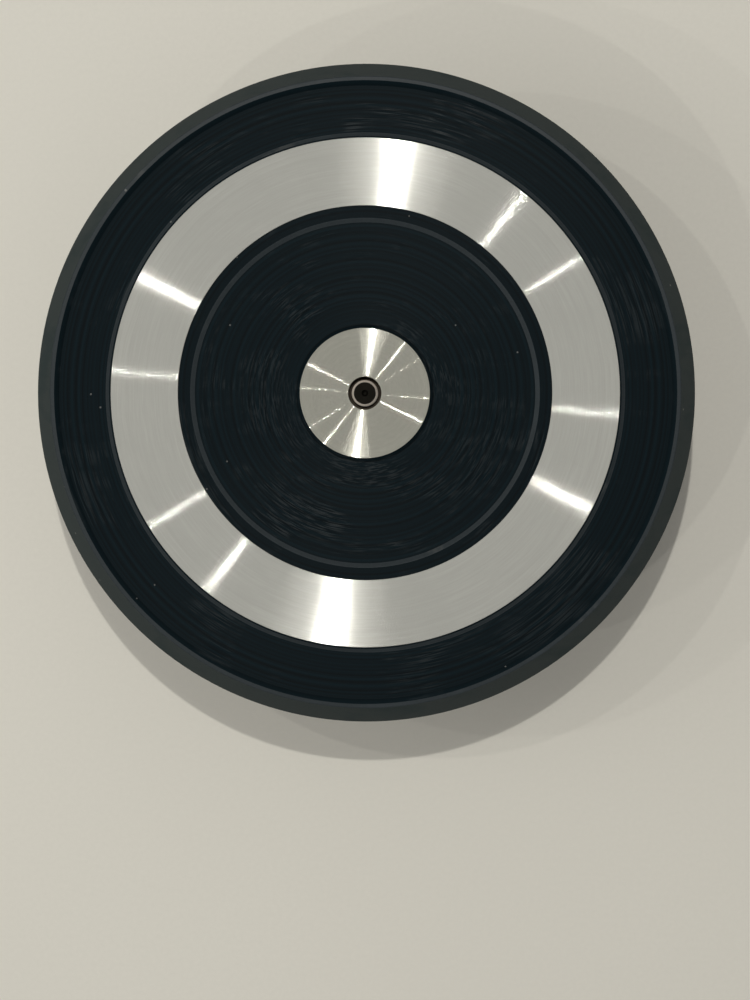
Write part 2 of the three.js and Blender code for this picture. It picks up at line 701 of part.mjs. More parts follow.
const bandingWheel = new THREE.Group();
bandingWheel.add(
  turningGroup(),
  standingGroup(),
  bearing("upper", upperBearingZ),
  bearing("lower", lowerBearingZ),
);

export default bandingWheel;
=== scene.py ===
"""Looks of a banding wheel: a cast and turned head that spins on a bell-shaped pedestal.

Metres, +Z up. The spin axis is the Z axis, and the feet stand on z = 0.
"""

import logging
import math
import random
from dataclasses import dataclass
from enum import Enum
from typing import Callable, Mapping, Sequence

import bpy
from bpy.types import Material, Mesh, Node, NodeSocket, NodeTree, Object
from mathutils import Matrix, Vector


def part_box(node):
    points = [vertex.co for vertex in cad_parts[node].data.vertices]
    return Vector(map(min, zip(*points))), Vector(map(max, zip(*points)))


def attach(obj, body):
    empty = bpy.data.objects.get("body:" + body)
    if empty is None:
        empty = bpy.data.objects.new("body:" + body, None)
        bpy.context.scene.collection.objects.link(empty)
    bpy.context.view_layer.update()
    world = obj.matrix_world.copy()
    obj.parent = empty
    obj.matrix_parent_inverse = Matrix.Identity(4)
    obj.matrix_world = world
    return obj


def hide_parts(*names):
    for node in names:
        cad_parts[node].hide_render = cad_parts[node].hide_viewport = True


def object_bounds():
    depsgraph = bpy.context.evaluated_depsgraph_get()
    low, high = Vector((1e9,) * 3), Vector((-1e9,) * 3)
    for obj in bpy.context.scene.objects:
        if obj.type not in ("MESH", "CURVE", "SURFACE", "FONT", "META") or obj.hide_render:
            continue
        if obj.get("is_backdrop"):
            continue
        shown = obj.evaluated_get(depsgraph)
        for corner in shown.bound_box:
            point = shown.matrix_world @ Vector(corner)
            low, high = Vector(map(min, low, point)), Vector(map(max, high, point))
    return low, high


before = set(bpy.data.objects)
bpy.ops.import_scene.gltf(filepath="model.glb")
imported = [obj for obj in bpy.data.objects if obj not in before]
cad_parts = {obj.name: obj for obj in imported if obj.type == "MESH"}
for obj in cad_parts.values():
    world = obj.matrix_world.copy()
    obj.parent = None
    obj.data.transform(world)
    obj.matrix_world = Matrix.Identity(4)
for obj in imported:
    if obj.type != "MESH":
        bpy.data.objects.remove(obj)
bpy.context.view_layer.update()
LOG = logging.getLogger("banding_wheel")

MM = 0.001
TURN = 2 * math.pi
SIDES = 192  # round a large turned piece
MIDDLE_SIDES = 96  # round a middling one
SMALL_SIDES = 48  # round a small one
HEXAGON = 6
WELD = 1e-6

FLOAT = "NodeSocketFloat"
INT = "NodeSocketInt"
GEOMETRY = "NodeSocketGeometry"

Socket = NodeSocket
Sockets = Mapping[str, Socket]
Colour = tuple[float, float, float]


# ------------------------------------------------------------------ node trees


class Graph:
    """Adds nodes to one tree, joining sockets as they are given."""

    def __init__(self, tree: NodeTree) -> None:
        """Args:
            tree: the tree that new nodes go into.
        """
        self.tree = tree

    def node(self, kind: str, inputs: dict | None = None, **settings: object) -> Node:
        """Adds one node.

        Args:
            kind: the node's type name.
            inputs: values or sockets, by the input's name or index.
            settings: properties of the node itself.

        Returns:
            The new node.
        """
        made = self.tree.nodes.new(kind)
        for key, value in settings.items():
            setattr(made, key, value)
        for key, value in (inputs or {}).items():
            if isinstance(value, NodeSocket):
                self.tree.links.new(value, made.inputs[key])
            else:
                made.inputs[key].default_value = value
        return made

    def math(self, operation: str, first: object, second: object = 0.0) -> Socket:
        """Returns the result of one Math node."""
        made = self.node("ShaderNodeMath", {0: first, 1: second}, operation=operation)
        return made.outputs[0]

    def times(self, first: object, second: object) -> Socket:
        """Returns one value times another."""
        return self.math("MULTIPLY", first, second)

    def plus(self, first: object, second: object) -> Socket:
        """Returns the sum of two values."""
        return self.math("ADD", first, second)

    def minus(self, first: object, second: object) -> Socket:
        """Returns one value less another."""
        return self.math("SUBTRACT", first, second)

    def over(self, first: object, second: object) -> Socket:
        """Returns one value divided by another."""
        return self.math("DIVIDE", first, second)

    def vector(self, operation: str, first: object, second: object = (0.0, 0.0, 0.0)) -> Socket:
        """Returns the vector result of one Vector Math node."""
        made = self.node("ShaderNodeVectorMath", {0: first, 1: second}, operation=operation)
        return made.outputs["Value" if operation in ("LENGTH", "DOT_PRODUCT") else "Vector"]

    def scaled(self, vector: object, factor: object) -> Socket:
        """Returns a vector times a number."""
        made = self.node("ShaderNodeVectorMath", {0: vector, "Scale": factor}, operation="SCALE")
        return made.outputs["Vector"]

    def blend(self, factor: object, first: object, second: object) -> Socket:
        """Returns a colour between two, by a factor from 0 to 1."""
        made = self.node("ShaderNodeMix", {0: factor, 6: first, 7: second}, data_type="RGBA")
        return made.outputs[2]

    def spread(
        self, value: object, low: object, high: object, to_low: object = 0.0, to_high: object = 1.0
    ) -> Socket:
        """Returns a value moved smoothly from one range to another, and held at its ends."""
        made = self.node(
            "ShaderNodeMapRange",
            {"Value": value, "From Min": low, "From Max": high, "To Min": to_low, "To Max": to_high},
            interpolation_type="SMOOTHSTEP",
        )
        return made.outputs[0]

    def noise(self, where: object, scale: object, detail: float = 2.0, distortion: float = 0.0) -> Socket:
        """Returns three-dimensional noise, near 0.5 on average."""
        inputs = {"Vector": where, "Scale": scale, "Detail": detail, "Distortion": distortion}
        return self.node("ShaderNodeTexNoise", inputs).outputs[0]

    def noise_along(self, distance: object, detail: float = 2.0) -> Socket:
        """Returns noise along one line, near 0.5 on average."""
        inputs = {"W": distance, "Scale": 1.0, "Detail": detail}
        return self.node("ShaderNodeTexNoise", inputs, noise_dimensions="1D").outputs[0]

    def join(self, node: Node, name: str, value: Socket) -> None:
        """Links a varying value to one of a node's inputs."""
        self.tree.links.new(value, node.inputs[name])

    def bump(self, shader: Node, height: Socket, distance: float, strength: float = 1.0) -> None:
        """Raises a shader's surface by a height between 0 and 1 times a distance."""
        inputs = {"Height": height, "Distance": distance, "Strength": strength}
        self.join(shader, "Normal", self.node("ShaderNodeBump", inputs).outputs[0])


def named_sockets(tree: NodeTree, direction: str, sockets: dict[str, object]) -> None:
    """Gives a tree its named inputs or outputs.

    Args:
        tree: the tree.
        direction: INPUT or OUTPUT.
        sockets: a default number or a socket type, by name.
    """
    for name, given in sockets.items():
        kind = given if isinstance(given, str) else FLOAT
        made = tree.interface.new_socket(name, in_out=direction, socket_type=kind)
        if not isinstance(given, str):
            made.default_value = given


def shader_group(name: str, inputs: dict, outputs: dict, fill: Callable) -> NodeTree:
    """Returns a shader node group, built the first time it is asked for.

    Args:
        name: the group's name.
        inputs: its named inputs, with their defaults.
        outputs: its named outputs, with their socket types.
        fill: adds the nodes and returns the socket for each output.
    """
    if name in bpy.data.node_groups:
        return bpy.data.node_groups[name]
    tree = bpy.data.node_groups.new(name, "ShaderNodeTree")
    named_sockets(tree, "INPUT", inputs)
    named_sockets(tree, "OUTPUT", outputs)
    graph = Graph(tree)
    graph.node("NodeGroupOutput", fill(graph, graph.node("NodeGroupInput").outputs))
    return tree


def object_place(graph: Graph) -> Socket:
    """Returns the Object coordinates."""
    return graph.node("ShaderNodeTexCoord").outputs["Object"]


def fill_turned(graph: Graph, given: Sockets) -> dict:
    """Ridges that a lathe tool leaves: the normal leans across the ridges, never along them."""
    place = object_place(graph)
    flat = graph.vector("MULTIPLY", place, (1.0, 1.0, 0.0))
    height = graph.vector("DOT_PRODUCT", place, (0.0, 0.0, 1.0))
    wander = graph.times(graph.noise(place, 14.0), given["Wander"])
    across = graph.plus(graph.minus(graph.vector("LENGTH", flat), height), wander)
    parts = graph.node("ShaderNodeSeparateXYZ", {0: place})
    backwards = graph.times(parts.outputs["Y"], -1.0)
    round_axis = graph.node("ShaderNodeCombineXYZ", {0: backwards, 1: parts.outputs["X"]}).outputs[0]
    in_world = graph.node(
        "ShaderNodeVectorTransform",
        {0: round_axis},
        vector_type="VECTOR",
        convert_from="OBJECT",
        convert_to="WORLD",
    ).outputs[0]
    normal = graph.node("ShaderNodeNewGeometry").outputs["Normal"]
    lean = graph.vector("CROSS_PRODUCT", graph.vector("NORMALIZE", in_world), normal)

    # each pass of a round-nosed tool leaves a hollow, whose slope rises evenly from edge to edge
    hollow = graph.math("FRACT", graph.over(across, given["Pitch"]))
    fine = graph.times(graph.minus(hollow, 0.5), graph.times(given["Slope"], 2.0))
    rings = graph.noise_along(graph.over(across, given["Broad Pitch"]), 3.0)
    broad = graph.times(graph.minus(rings, 0.5), given["Broad Slope"])
    leaning = graph.vector("ADD", normal, graph.scaled(lean, graph.plus(fine, broad)))
    way_round = graph.scaled(graph.vector("NORMALIZE", flat), given["Arcs"])
    way_out = graph.node("ShaderNodeCombineXYZ", {2: graph.over(across, given["Arc Width"])}).outputs[0]
    arcs = graph.spread(graph.noise(graph.vector("ADD", way_round, way_out), 1.0, 2.0), 0.3, 0.7)
    normal = graph.vector("NORMALIZE", leaning)
    return {"Normal": normal, "Lines": graph.spread(rings, 0.25, 0.75), "Arcs": arcs}


def fill_smudges(graph: Graph, given: Sockets) -> dict:
    """Soft dull patches, as hands and dried slip leave them."""
    place = object_place(graph)
    clouds = graph.noise(place, given["Scale"], 3.0, 0.8)
    stretched = graph.vector("MULTIPLY", place, (1.0, 2.6, 1.0))
    streaky = graph.noise(stretched, graph.times(given["Scale"], 3.1), 4.0)
    both = graph.plus(graph.times(clouds, 0.7), graph.times(streaky, 0.3))
    top = graph.plus(given["Level"], given["Softness"])
    return {"Mask": graph.spread(both, given["Level"], top)}


def fill_hairlines(graph: Graph, given: Sockets) -> dict:
    """Sparse straight scratches in two directions."""
    place = object_place(graph)
    masks = []
    for angle, seed in ((0.5, 3.0), (2.0, 11.0)):
        turned = graph.node(
            "ShaderNodeMapping",
            {"Vector": place, "Rotation": (0.0, 0.0, angle), "Location": (seed, seed, 0.0)},
        ).outputs[0]
        long_noise = graph.noise(graph.vector("MULTIPLY", turned, (12.0, 900.0, 12.0)), 1.0, 1.0)
        patch = graph.spread(graph.noise(turned, 30.0, 1.0), 0.52, 0.62)
        masks.append(graph.times(graph.spread(long_noise, given["Level"], 0.86), patch))
    return {"Mask": graph.math("MAXIMUM", masks[0], masks[1])}


def fill_dust(graph: Graph, given: Sockets) -> dict:
    """Scattered specks of dried clay and lint."""
    cells = graph.node(
        "ShaderNodeTexVoronoi", {"Vector": object_place(graph), "Scale": given["Scale"], "Randomness": 1.0}
    )
    size = graph.times(given["Size"], graph.plus(cells.outputs["Color"], 0.35))
    speck = graph.math("LESS_THAN", cells.outputs["Distance"], size)
    parts = graph.node("ShaderNodeSeparateColor", {0: cells.outputs["Color"]})
    chosen = graph.math("GREATER_THAN", parts.outputs[1], given["Rarity"])
    return {"Mask": graph.times(speck, chosen)}


def fill_cast_grain(graph: Graph, given: Sockets) -> dict:
    """The shallow unevenness of a sand casting under paint."""
    place = object_place(graph)
    swell = graph.noise(place, graph.times(given["Scale"], 0.2), 2.0)
    grain = graph.noise(place, given["Scale"], 4.0)
    pits = graph.node("ShaderNodeTexVoronoi", {"Vector": place, "Scale": given["Scale"]}).outputs["Distance"]
    dimples = graph.spread(pits, 0.0, 0.35)
    height = graph.plus(graph.times(swell, 0.5), graph.times(grain, 0.35))
    return {"Height": graph.plus(height, graph.times(dimples, 0.15)), "Grain": grain}


def fill_edge_wear(graph: Graph, given: Sockets) -> dict:
    """Edges rubbed by hands and shelves, broken up so that the wear isn't even."""
    pointiness = graph.node("ShaderNodeNewGeometry").outputs["Pointiness"]
    edge = graph.spread(pointiness, given["Start"], given["Full"])
    broken = graph.spread(graph.noise(object_place(graph), 160.0, 3.0), 0.42, 0.62)
    return {"Mask": graph.times(edge, broken)}


class Effect(Enum):
    """The surface effects that finishes share: inputs, outputs and what fills the group."""

    TURNED = (
        {
            "Pitch": 0.1 * MM,
            "Slope": 0.1,
            "Broad Pitch": 2.5 * MM,
            "Broad Slope": 0.05,
            "Wander": 0.0,
            "Arcs": 7.0,
            "Arc Width": 0.6 * MM,
        },
        {"Normal": "NodeSocketVector", "Lines": FLOAT, "Arcs": FLOAT},
        fill_turned,
    )
    SMUDGES = ({"Scale": 18.0, "Level": 0.5, "Softness": 0.15}, {"Mask": FLOAT}, fill_smudges)
    HAIRLINES = ({"Level": 0.72}, {"Mask": FLOAT}, fill_hairlines)
    DUST = ({"Scale": 160.0, "Size": 0.06, "Rarity": 0.9}, {"Mask": FLOAT}, fill_dust)
    CAST_GRAIN = ({"Scale": 500.0}, {"Height": FLOAT, "Grain": FLOAT}, fill_cast_grain)
    EDGE_WEAR = ({"Start": 0.52, "Full": 0.6}, {"Mask": FLOAT}, fill_edge_wear)

    def place(self, graph: Graph, **values: float) -> Node:
        """Puts this effect's group in a material.

        Args:
            graph: the material's nodes.
            values: its inputs, by name, with _ for a space.

        Returns:
            The group node.
        """
        inputs, outputs, fill = self.value
        made = graph.node("ShaderNodeGroup", node_tree=shader_group(self.name.lower(), inputs, outputs, fill))
        for name, value in values.items():
            made.inputs[name.replace("_", " ")].default_value = value
        return made


# ------------------------------------------------------------------ finishes


@dataclass(frozen=True)
class Finish:
    """A surface, as a base colour and roughness that its effects vary."""

    name: str
    colour: Colour
    roughness: float

    def material(self) -> Material:
        """Returns this finish's material, built the first time it is asked for."""
        if self.name in bpy.data.materials:
            return bpy.data.materials[self.name]
        made = bpy.data.materials.new(self.name)
        made.use_nodes = True
        made.node_tree.nodes.clear()
        graph = Graph(made.node_tree)
        shader = graph.node("ShaderNodeBsdfPrincipled")
        graph.node("ShaderNodeOutputMaterial", {"Surface": shader.outputs["BSDF"]})
        self.dress(graph, shader)
        return made

    def dress(self, graph: Graph, shader: Node) -> None:
        """Gives the shader its sockets; each kind of finish has its own way."""
        raise NotImplementedError

    def rgba(self, factor: float = 1.0) -> tuple[float, float, float, float]:
        """Returns the base colour times a factor, with full alpha."""
        return (*(channel * factor for channel in self.colour), 1.0)


@dataclass(frozen=True)
class TurnedMetal(Finish):
    """Bare metal turned on a lathe: its ridges draw each lamp out into a line through the axis."""

    slope: float = 0.2
    broad_slope: float = 0.06
    pitch: float = 0.06 * MM
    broad_pitch: float = 2.2 * MM
    line_depth: float = 0.04
    anisotropy: float = 1.0
    metallic: float = 0.35

    def dress(self, graph: Graph, shader: Node) -> None:
        """Turned ridges, cloudy handling marks and a few hairlines."""
        shader.inputs["Metallic"].default_value = self.metallic
        shader.inputs["Anisotropic"].default_value = self.anisotropy
        shader.inputs["Anisotropic Rotation"].default_value = 0.25
        tangent = graph.node("ShaderNodeTangent", direction_type="RADIAL", axis="Z")
        graph.join(shader, "Tangent", tangent.outputs[0])
        turned = Effect.TURNED.place(
            graph,
            Pitch=self.pitch,
            Slope=self.slope,
            Broad_Pitch=self.broad_pitch,
            Broad_Slope=self.broad_slope,
        )
        clouds = Effect.SMUDGES.place(graph, Scale=16.0, Level=0.42, Softness=0.22).outputs["Mask"]
        scratches = Effect.HAIRLINES.place(graph).outputs["Mask"]
        graph.join(shader, "Normal", turned.outputs["Normal"])
        depth = self.line_depth
        lines = graph.blend(turned.outputs["Lines"], self.rgba(1 - depth), self.rgba(1 + depth))
        brushed = graph.blend(graph.times(turned.outputs["Arcs"], 0.5), lines, self.rgba(1 - 3 * depth))
        clouded = graph.blend(graph.times(clouds, 0.5), brushed, self.rgba(0.92))
        scratched = graph.blend(graph.times(scratches, 0.35), clouded, self.rgba(0.6))
        graph.join(shader, "Base Color", scratched)
        worn = graph.plus(graph.times(clouds, 0.006), graph.times(scratches, 0.05))
        graph.join(shader, "Roughness", graph.plus(worn, self.roughness))


@dataclass(frozen=True)
class Enamel(Finish):
    """Glossy paint over a turned face: fine rings show through it, and handling dulls it in patches."""

    slope: float = 0.12
    broad_slope: float = 0.05
    pitch: float = 0.1 * MM
    broad_pitch: float = 1.7 * MM
    wander: float = 0.4 * MM
    specular: float = 0.2
    smudge_colour: Colour = (0.034, 0.041, 0.044)
    smudge_amount: float = 0.35
    polish: float = 0.24

    def dress(self, graph: Graph, shader: Node) -> None:
        """Turned rings, dull smudges and specks of dust."""
        turned = Effect.TURNED.place(
            graph,
            Pitch=self.pitch,
            Slope=self.slope,
            Broad_Pitch=self.broad_pitch,
            Broad_Slope=self.broad_slope,
            Wander=self.wander,
        )
        smudges = Effect.SMUDGES.place(graph, Scale=20.0, Level=0.47, Softness=0.16).outputs["Mask"]
        specks = Effect.DUST.place(graph).outputs["Mask"]
        shader.inputs["Anisotropic"].default_value = 0.7
        shader.inputs["Anisotropic Rotation"].default_value = 0.25
        shader.inputs["Specular IOR Level"].default_value = self.specular
        tangent = graph.node("ShaderNodeTangent", direction_type="RADIAL", axis="Z")
        graph.join(shader, "Tangent", tangent.outputs[0])
        graph.join(shader, "Normal", turned.outputs["Normal"])
        lines = graph.blend(turned.outputs["Lines"], self.rgba(0.6), self.rgba(1.4))
        patches = graph.times(smudges, graph.spread(turned.outputs["Arcs"], 0.3, 1.0))
        dull = graph.times(patches, self.smudge_amount)
        dulled = graph.blend(dull, lines, (*self.smudge_colour, 1.0))
        dusty = graph.blend(graph.times(specks, 0.25), dulled, (0.4, 0.4, 0.38, 1.0))
        graph.join(shader, "Base Color", dusty)
        rougher = graph.plus(graph.times(smudges, 0.08), graph.times(specks, 0.2))
        dashes = graph.spread(turned.outputs["Arcs"], 0.45, 0.95)
        polished = graph.times(graph.times(smudges, dashes), self.polish)
        rough = graph.minus(graph.plus(rougher, self.roughness), polished)
        graph.join(shader, "Roughness", rough)


@dataclass(frozen=True)
class CastPaint(Finish):
    """Satin paint over a casting, with its grain under it and rubbed edges."""

    grain: float = 0.12 * MM
    grain_scale: float = 500.0
    specular: float = 0.2
    worn_colour: Colour = (0.06, 0.065, 0.065)

    def dress(self, graph: Graph, shader: Node) -> None:
        """Casting grain, rubbed edges, smudges and dust."""
        shader.inputs["Specular IOR Level"].default_value = self.specular
        cast = Effect.CAST_GRAIN.place(graph, Scale=self.grain_scale)
        wear = Effect.EDGE_WEAR.place(graph).outputs["Mask"]
        smudges = Effect.SMUDGES.place(graph, Scale=26.0, Level=0.5, Softness=0.2).outputs["Mask"]
        specks = Effect.DUST.place(graph, Scale=140.0, Rarity=0.93).outputs["Mask"]
        tone = graph.blend(cast.outputs["Grain"], self.rgba(0.75), self.rgba(1.25))
        rubbed = graph.blend(graph.times(wear, 0.6), tone, (*self.worn_colour, 1.0))
        dulled = graph.blend(graph.times(smudges, 0.25), rubbed, self.rgba(1.8))
        dusty = graph.blend(graph.times(specks, 0.4), dulled, (0.3, 0.3, 0.28, 1.0))
        graph.join(shader, "Base Color", dusty)
        graph.join(shader, "Roughness", graph.plus(graph.times(smudges, 0.12), self.roughness))
        graph.bump(shader, cast.outputs["Height"], self.grain)


@dataclass(frozen=True)
class Metal(Finish):
    """Plated, blued or polished steel with faint mottling."""

    mottle: float = 0.15
    mottle_scale: float = 900.0

    def dress(self, graph: Graph, shader: Node) -> None:
        """Mottled colour and roughness with a very light bump."""
        shader.inputs["Metallic"].default_value = 1.0
        mottling = graph.noise(object_place(graph), self.mottle_scale, 3.0)
        wear = Effect.EDGE_WEAR.place(graph).outputs["Mask"]
        tone = graph.blend(mottling, self.rgba(1 - self.mottle), self.rgba(1 + self.mottle))
        rubbed = graph.blend(graph.times(wear, 0.3), tone, (0.6, 0.6, 0.6, 1.0))
        graph.join(shader, "Base Color", rubbed)
        rough = graph.spread(mottling, 0.2, 0.8, self.roughness * 0.8, self.roughness * 1.2)
        graph.join(shader, "Roughness", rough)
        graph.bump(shader, mottling, 0.01 * MM, 0.5)


@dataclass(frozen=True)
class Moulded(Finish):
    """Rubber or plastic from a mould, with a fine matt grain and dust in it."""

    grain: float = 0.03 * MM

    def dress(self, graph: Graph, shader: Node) -> None:
        """Fine grain and pale dust."""
        cast = Effect.CAST_GRAIN.place(graph, Scale=1600.0)
        smudges = Effect.SMUDGES.place(graph, Scale=60.0, Level=0.46, Softness=0.25).outputs["Mask"]
        tone = graph.blend(cast.outputs["Grain"], self.rgba(0.8), self.rgba(1.2))
        dusty = graph.blend(graph.times(smudges, 0.15), tone, (0.25, 0.25, 0.24, 1.0))
        graph.join(shader, "Base Color", dusty)
        graph.join(shader, "Roughness", graph.plus(graph.times(smudges, 0.1), self.roughness))
        graph.bump(shader, cast.outputs["Height"], self.grain)


@dataclass(frozen=True)
class Paper(Finish):
    """A pale sheet with a faint tooth and slow waves."""

    def dress(self, graph: Graph, shader: Node) -> None:
        """Fine fibres over slow waves in tone."""
        place = object_place(graph)
        fibres = graph.noise(place, 420.0, 4.0)
        waves = graph.noise(place, 3.0, 2.0)
        tone = graph.blend(fibres, self.rgba(0.965), self.rgba(1.035))
        wavy = graph.blend(graph.spread(waves, 0.35, 0.65, 0.0, 0.35), tone, self.rgba(0.96))
        graph.join(shader, "Base Color", wavy)
        shader.inputs["Roughness"].default_value = self.roughness
        shader.inputs["Specular IOR Level"].default_value = 0.2
        height = graph.plus(graph.times(fibres, 0.4), graph.times(waves, 6.0))
        graph.bump(shader, height, 0.15 * MM, 0.6)


LAND = TurnedMetal(
    "turned_land", (0.67, 0.67, 0.62), 0.098,
    slope=0.75, broad_slope=0.06, metallic=0.45,
)
CENTRE_LAND = TurnedMetal(
    "turned_centre", (0.62, 0.615, 0.535), 0.07,
    slope=0.48, broad_slope=0.04, metallic=0.6,
)
SPINDLE_END = TurnedMetal(
    "ground_spindle", (0.85, 0.76, 0.66), 0.3,
    slope=0.06, broad_slope=0.02, anisotropy=0.6,
)
# The flat spindle end and its centre mark are near black: painted shade that stands in for a hollow end.
SPINDLE_END_PAINTED_SHADE = TurnedMetal(
    "dark_spindle_face", (0.006, 0.0055, 0.0045), 0.45,
    slope=0.05, anisotropy=0.3, metallic=1.0,
)
# The counterbore round the spindle is near black: painted shade for the dark of its deep, narrow gap.
BORE_PAINTED_SHADE = TurnedMetal(
    "drilled_bore", (0.016, 0.013, 0.010), 0.4,
    slope=0.1, anisotropy=0.3, metallic=1.0,
)
ENAMEL = Enamel("black_enamel", (0.0016, 0.0062, 0.0088), 0.5, specular=0.06)
LIP_PAINT = CastPaint(
    "satin_black", (0.0115, 0.0220, 0.0240), 0.5,
    grain=0.04 * MM, grain_scale=900.0, specular=0.12,
)
# Lighter paint on the rim's crest and on the bevels beside the ring is a painted highlight: it stands in for
# the bright lines that these edges catch.
EDGE_PAINTED_HIGHLIGHT = CastPaint(
    "satin_edge", (0.025, 0.032, 0.036), 0.45,
    grain=0.02 * MM, grain_scale=900.0, specular=0.15,
)
CAST_PAINT = CastPaint("cast_black", (0.022, 0.029, 0.031), 0.4, specular=0.3)
MACHINED = Metal("machined_casting", (0.45, 0.45, 0.44), 0.35, mottle=0.1)
BEARING_STEEL = Metal("bearing_steel", (0.68, 0.69, 0.7), 0.12, mottle=0.04)
PLATED_STEEL = Metal("plated_steel", (0.6, 0.6, 0.57), 0.32)
BLACK_STEEL = Metal("black_oxide_steel", (0.05, 0.05, 0.055), 0.4)
NYLON = Moulded("natural_nylon", (0.72, 0.66, 0.5), 0.5)
SEAL_RUBBER = Moulded("seal_rubber", (0.014, 0.014, 0.015), 0.55, grain=0.015 * MM)
FOOT_RUBBER = Moulded("foot_rubber", (0.02, 0.02, 0.02), 0.75)
PAPER = Paper("pale_paper", (0.80, 0.775, 0.70), 0.9)


# ------------------------------------------------------------------ turned outlines


@dataclass(frozen=True)
class Corner:
    """One corner of an outline, and the finish of the stretch that follows it."""

    r: float
    z: float
    rounding: float = 0.0
    finish: int = 0


Point = tuple[float, float, int]
ARC_STEPS = 4
SUPPORT = 0.5  # distance of the loop beside a rounding, in roundings


def rounded(corners: Sequence[Corner], closed: bool = True) -> list[Point]:
    """Rounds each corner, with one more point beside the rounding to keep the flats flat.

    Args:
        corners: the outline, counterclockwise with r to the right and z up.
        closed: whether the last corner joins the first.

    Returns:
        Points as radius, height and finish.
    """
    points: list[Point] = []
    count = len(corners)
    for index, corner in enumerate(corners):
        before, after = corners[index - 1], corners[(index + 1) % count]
        at_end = not closed and index in (0, count - 1)
        here = Vector((corner.r, corner.z))
        back = Vector((before.r, before.z)) - here
        ahead = Vector((after.r, after.z)) - here
        half = math.pi / 2 if at_end or corner.rounding <= 0 else back.angle(ahead) / 2
        if half > 0.49 * math.pi:
            points.append((corner.r, corner.z, corner.finish))
            continue
        reach = min(corner.rounding / math.tan(half), 0.45 * back.length, 0.45 * ahead.length)
        radius = reach * math.tan(half)
        back_way, ahead_way = back.normalized(), ahead.normalized()
        centre = here + (back_way + ahead_way).normalized() * math.hypot(reach, radius)
        start, end = (here + way * reach - centre for way in (back_way, ahead_way))
        beside = SUPPORT * reach
        if back.length > 3 * (reach + beside):
            support = here + back_way * (reach + beside)
            points.append((support.x, support.y, before.finish))
        for step in range(ARC_STEPS + 1):
            along = centre + start.normalized().slerp(end.normalized(), step / ARC_STEPS) * radius
            points.append((along.x, along.y, corner.finish))
        if ahead.length > 3 * (reach + beside):
            support = here + ahead_way * (reach + beside)
            points.append((support.x, support.y, corner.finish))
    return points


def outline_mesh(name: str, points: Sequence[Point]) -> Mesh:
    """Returns a mesh of loose points that hold an outline and its finishes."""
    made = bpy.data.meshes.new(name)
    made.from_pydata([(r, 0.0, z) for r, z, _ in points], [], [])
    finishes = made.attributes.new("finish", "INT", "POINT")
    finishes.data.foreach_set("value", [finish for _, _, finish in points])
    return made


def turned_tree(materials: Sequence[Material]) -> NodeTree:
    """Returns a Geometry Nodes tree that turns an outline about Z.

    Args:
        materials: one for each finish number of the outline.
    """
    name = "turned_" + "_".join(material.name for material in materials)[:50]
    if name in bpy.data.node_groups:
        return bpy.data.node_groups[name]
    tree = bpy.data.node_groups.new(name, "GeometryNodeTree")
    named_sockets(tree, "INPUT", {"Outline": GEOMETRY, "Sides": INT, "Closed": INT, "Weld": WELD})
    named_sockets(tree, "OUTPUT", {"Piece": GEOMETRY})
    graph = Graph(tree)
    given = graph.node("NodeGroupInput").outputs
    size = graph.node("GeometryNodeAttributeDomainSize", {"Geometry": given["Outline"]}, component="MESH")
    count = size.outputs["Point Count"]
    rows = graph.plus(count, given["Closed"])
    columns = graph.plus(given["Sides"], 1.0)
    grid = graph.node("GeometryNodeMeshGrid", {"Vertices X": rows, "Vertices Y": columns})
    index = graph.node("GeometryNodeInputIndex").outputs[0]
    row = graph.math("FLOOR", graph.over(index, columns))
    column = graph.math("MODULO", index, columns)
    sampled = graph.node(
        "GeometryNodeSampleIndex",
        {
            "Geometry": given["Outline"],
            "Value": graph.node("GeometryNodeInputPosition").outputs[0],
            "Index": graph.math("MODULO", row, count),
        },
        data_type="FLOAT_VECTOR",
        domain="POINT",
    )
    profile = graph.node("ShaderNodeSeparateXYZ", {0: sampled.outputs[0]})
    angle = graph.times(graph.over(column, given["Sides"]), -TURN)
    x = graph.times(graph.math("COSINE", angle), profile.outputs["X"])
    y = graph.times(graph.math("SINE", angle), profile.outputs["X"])
    place = graph.node("ShaderNodeCombineXYZ", {0: x, 1: y, 2: profile.outputs["Z"]})
    bare = {"Geometry": grid.outputs["Mesh"], "Position": place.outputs[0]}
    shaped = graph.node("GeometryNodeSetPosition", bare)
    face_row = graph.math("FLOOR", graph.over(index, given["Sides"]))
    held = graph.node("GeometryNodeInputNamedAttribute", {"Name": "finish"}, data_type="INT")
    finish = held.outputs["Attribute"]
    face_finish = graph.node(
        "GeometryNodeSampleIndex",
        {"Geometry": given["Outline"], "Value": finish, "Index": graph.math("MODULO", face_row, count)},
        data_type="INT",
        domain="POINT",
    )
    marked = graph.node(
        "GeometryNodeStoreNamedAttribute",
        {"Geometry": shaped.outputs[0], "Name": "finish", "Value": face_finish.outputs[0]},
        data_type="INT",
        domain="FACE",
    )
    loose = {"Geometry": marked.outputs[0], "Distance": given["Weld"]}
    welded = graph.node("GeometryNodeMergeByDistance", loose)
    smooth = graph.node("GeometryNodeSetShadeSmooth", {"Geometry": welded.outputs[0]})
    last = graph.node("GeometryNodeRealizeInstances", {"Geometry": smooth.outputs[0]})
    for number, material in enumerate(materials):
        mine = graph.node("FunctionNodeCompare", {2: finish, 3: number}, data_type="INT", operation="EQUAL")
        inputs = {"Geometry": last.outputs[0], "Selection": mine.outputs[0], "Material": material}
        last = graph.node("GeometryNodeSetMaterial", inputs)
    graph.node("NodeGroupOutput", {"Piece": last.outputs[0]})
    return tree


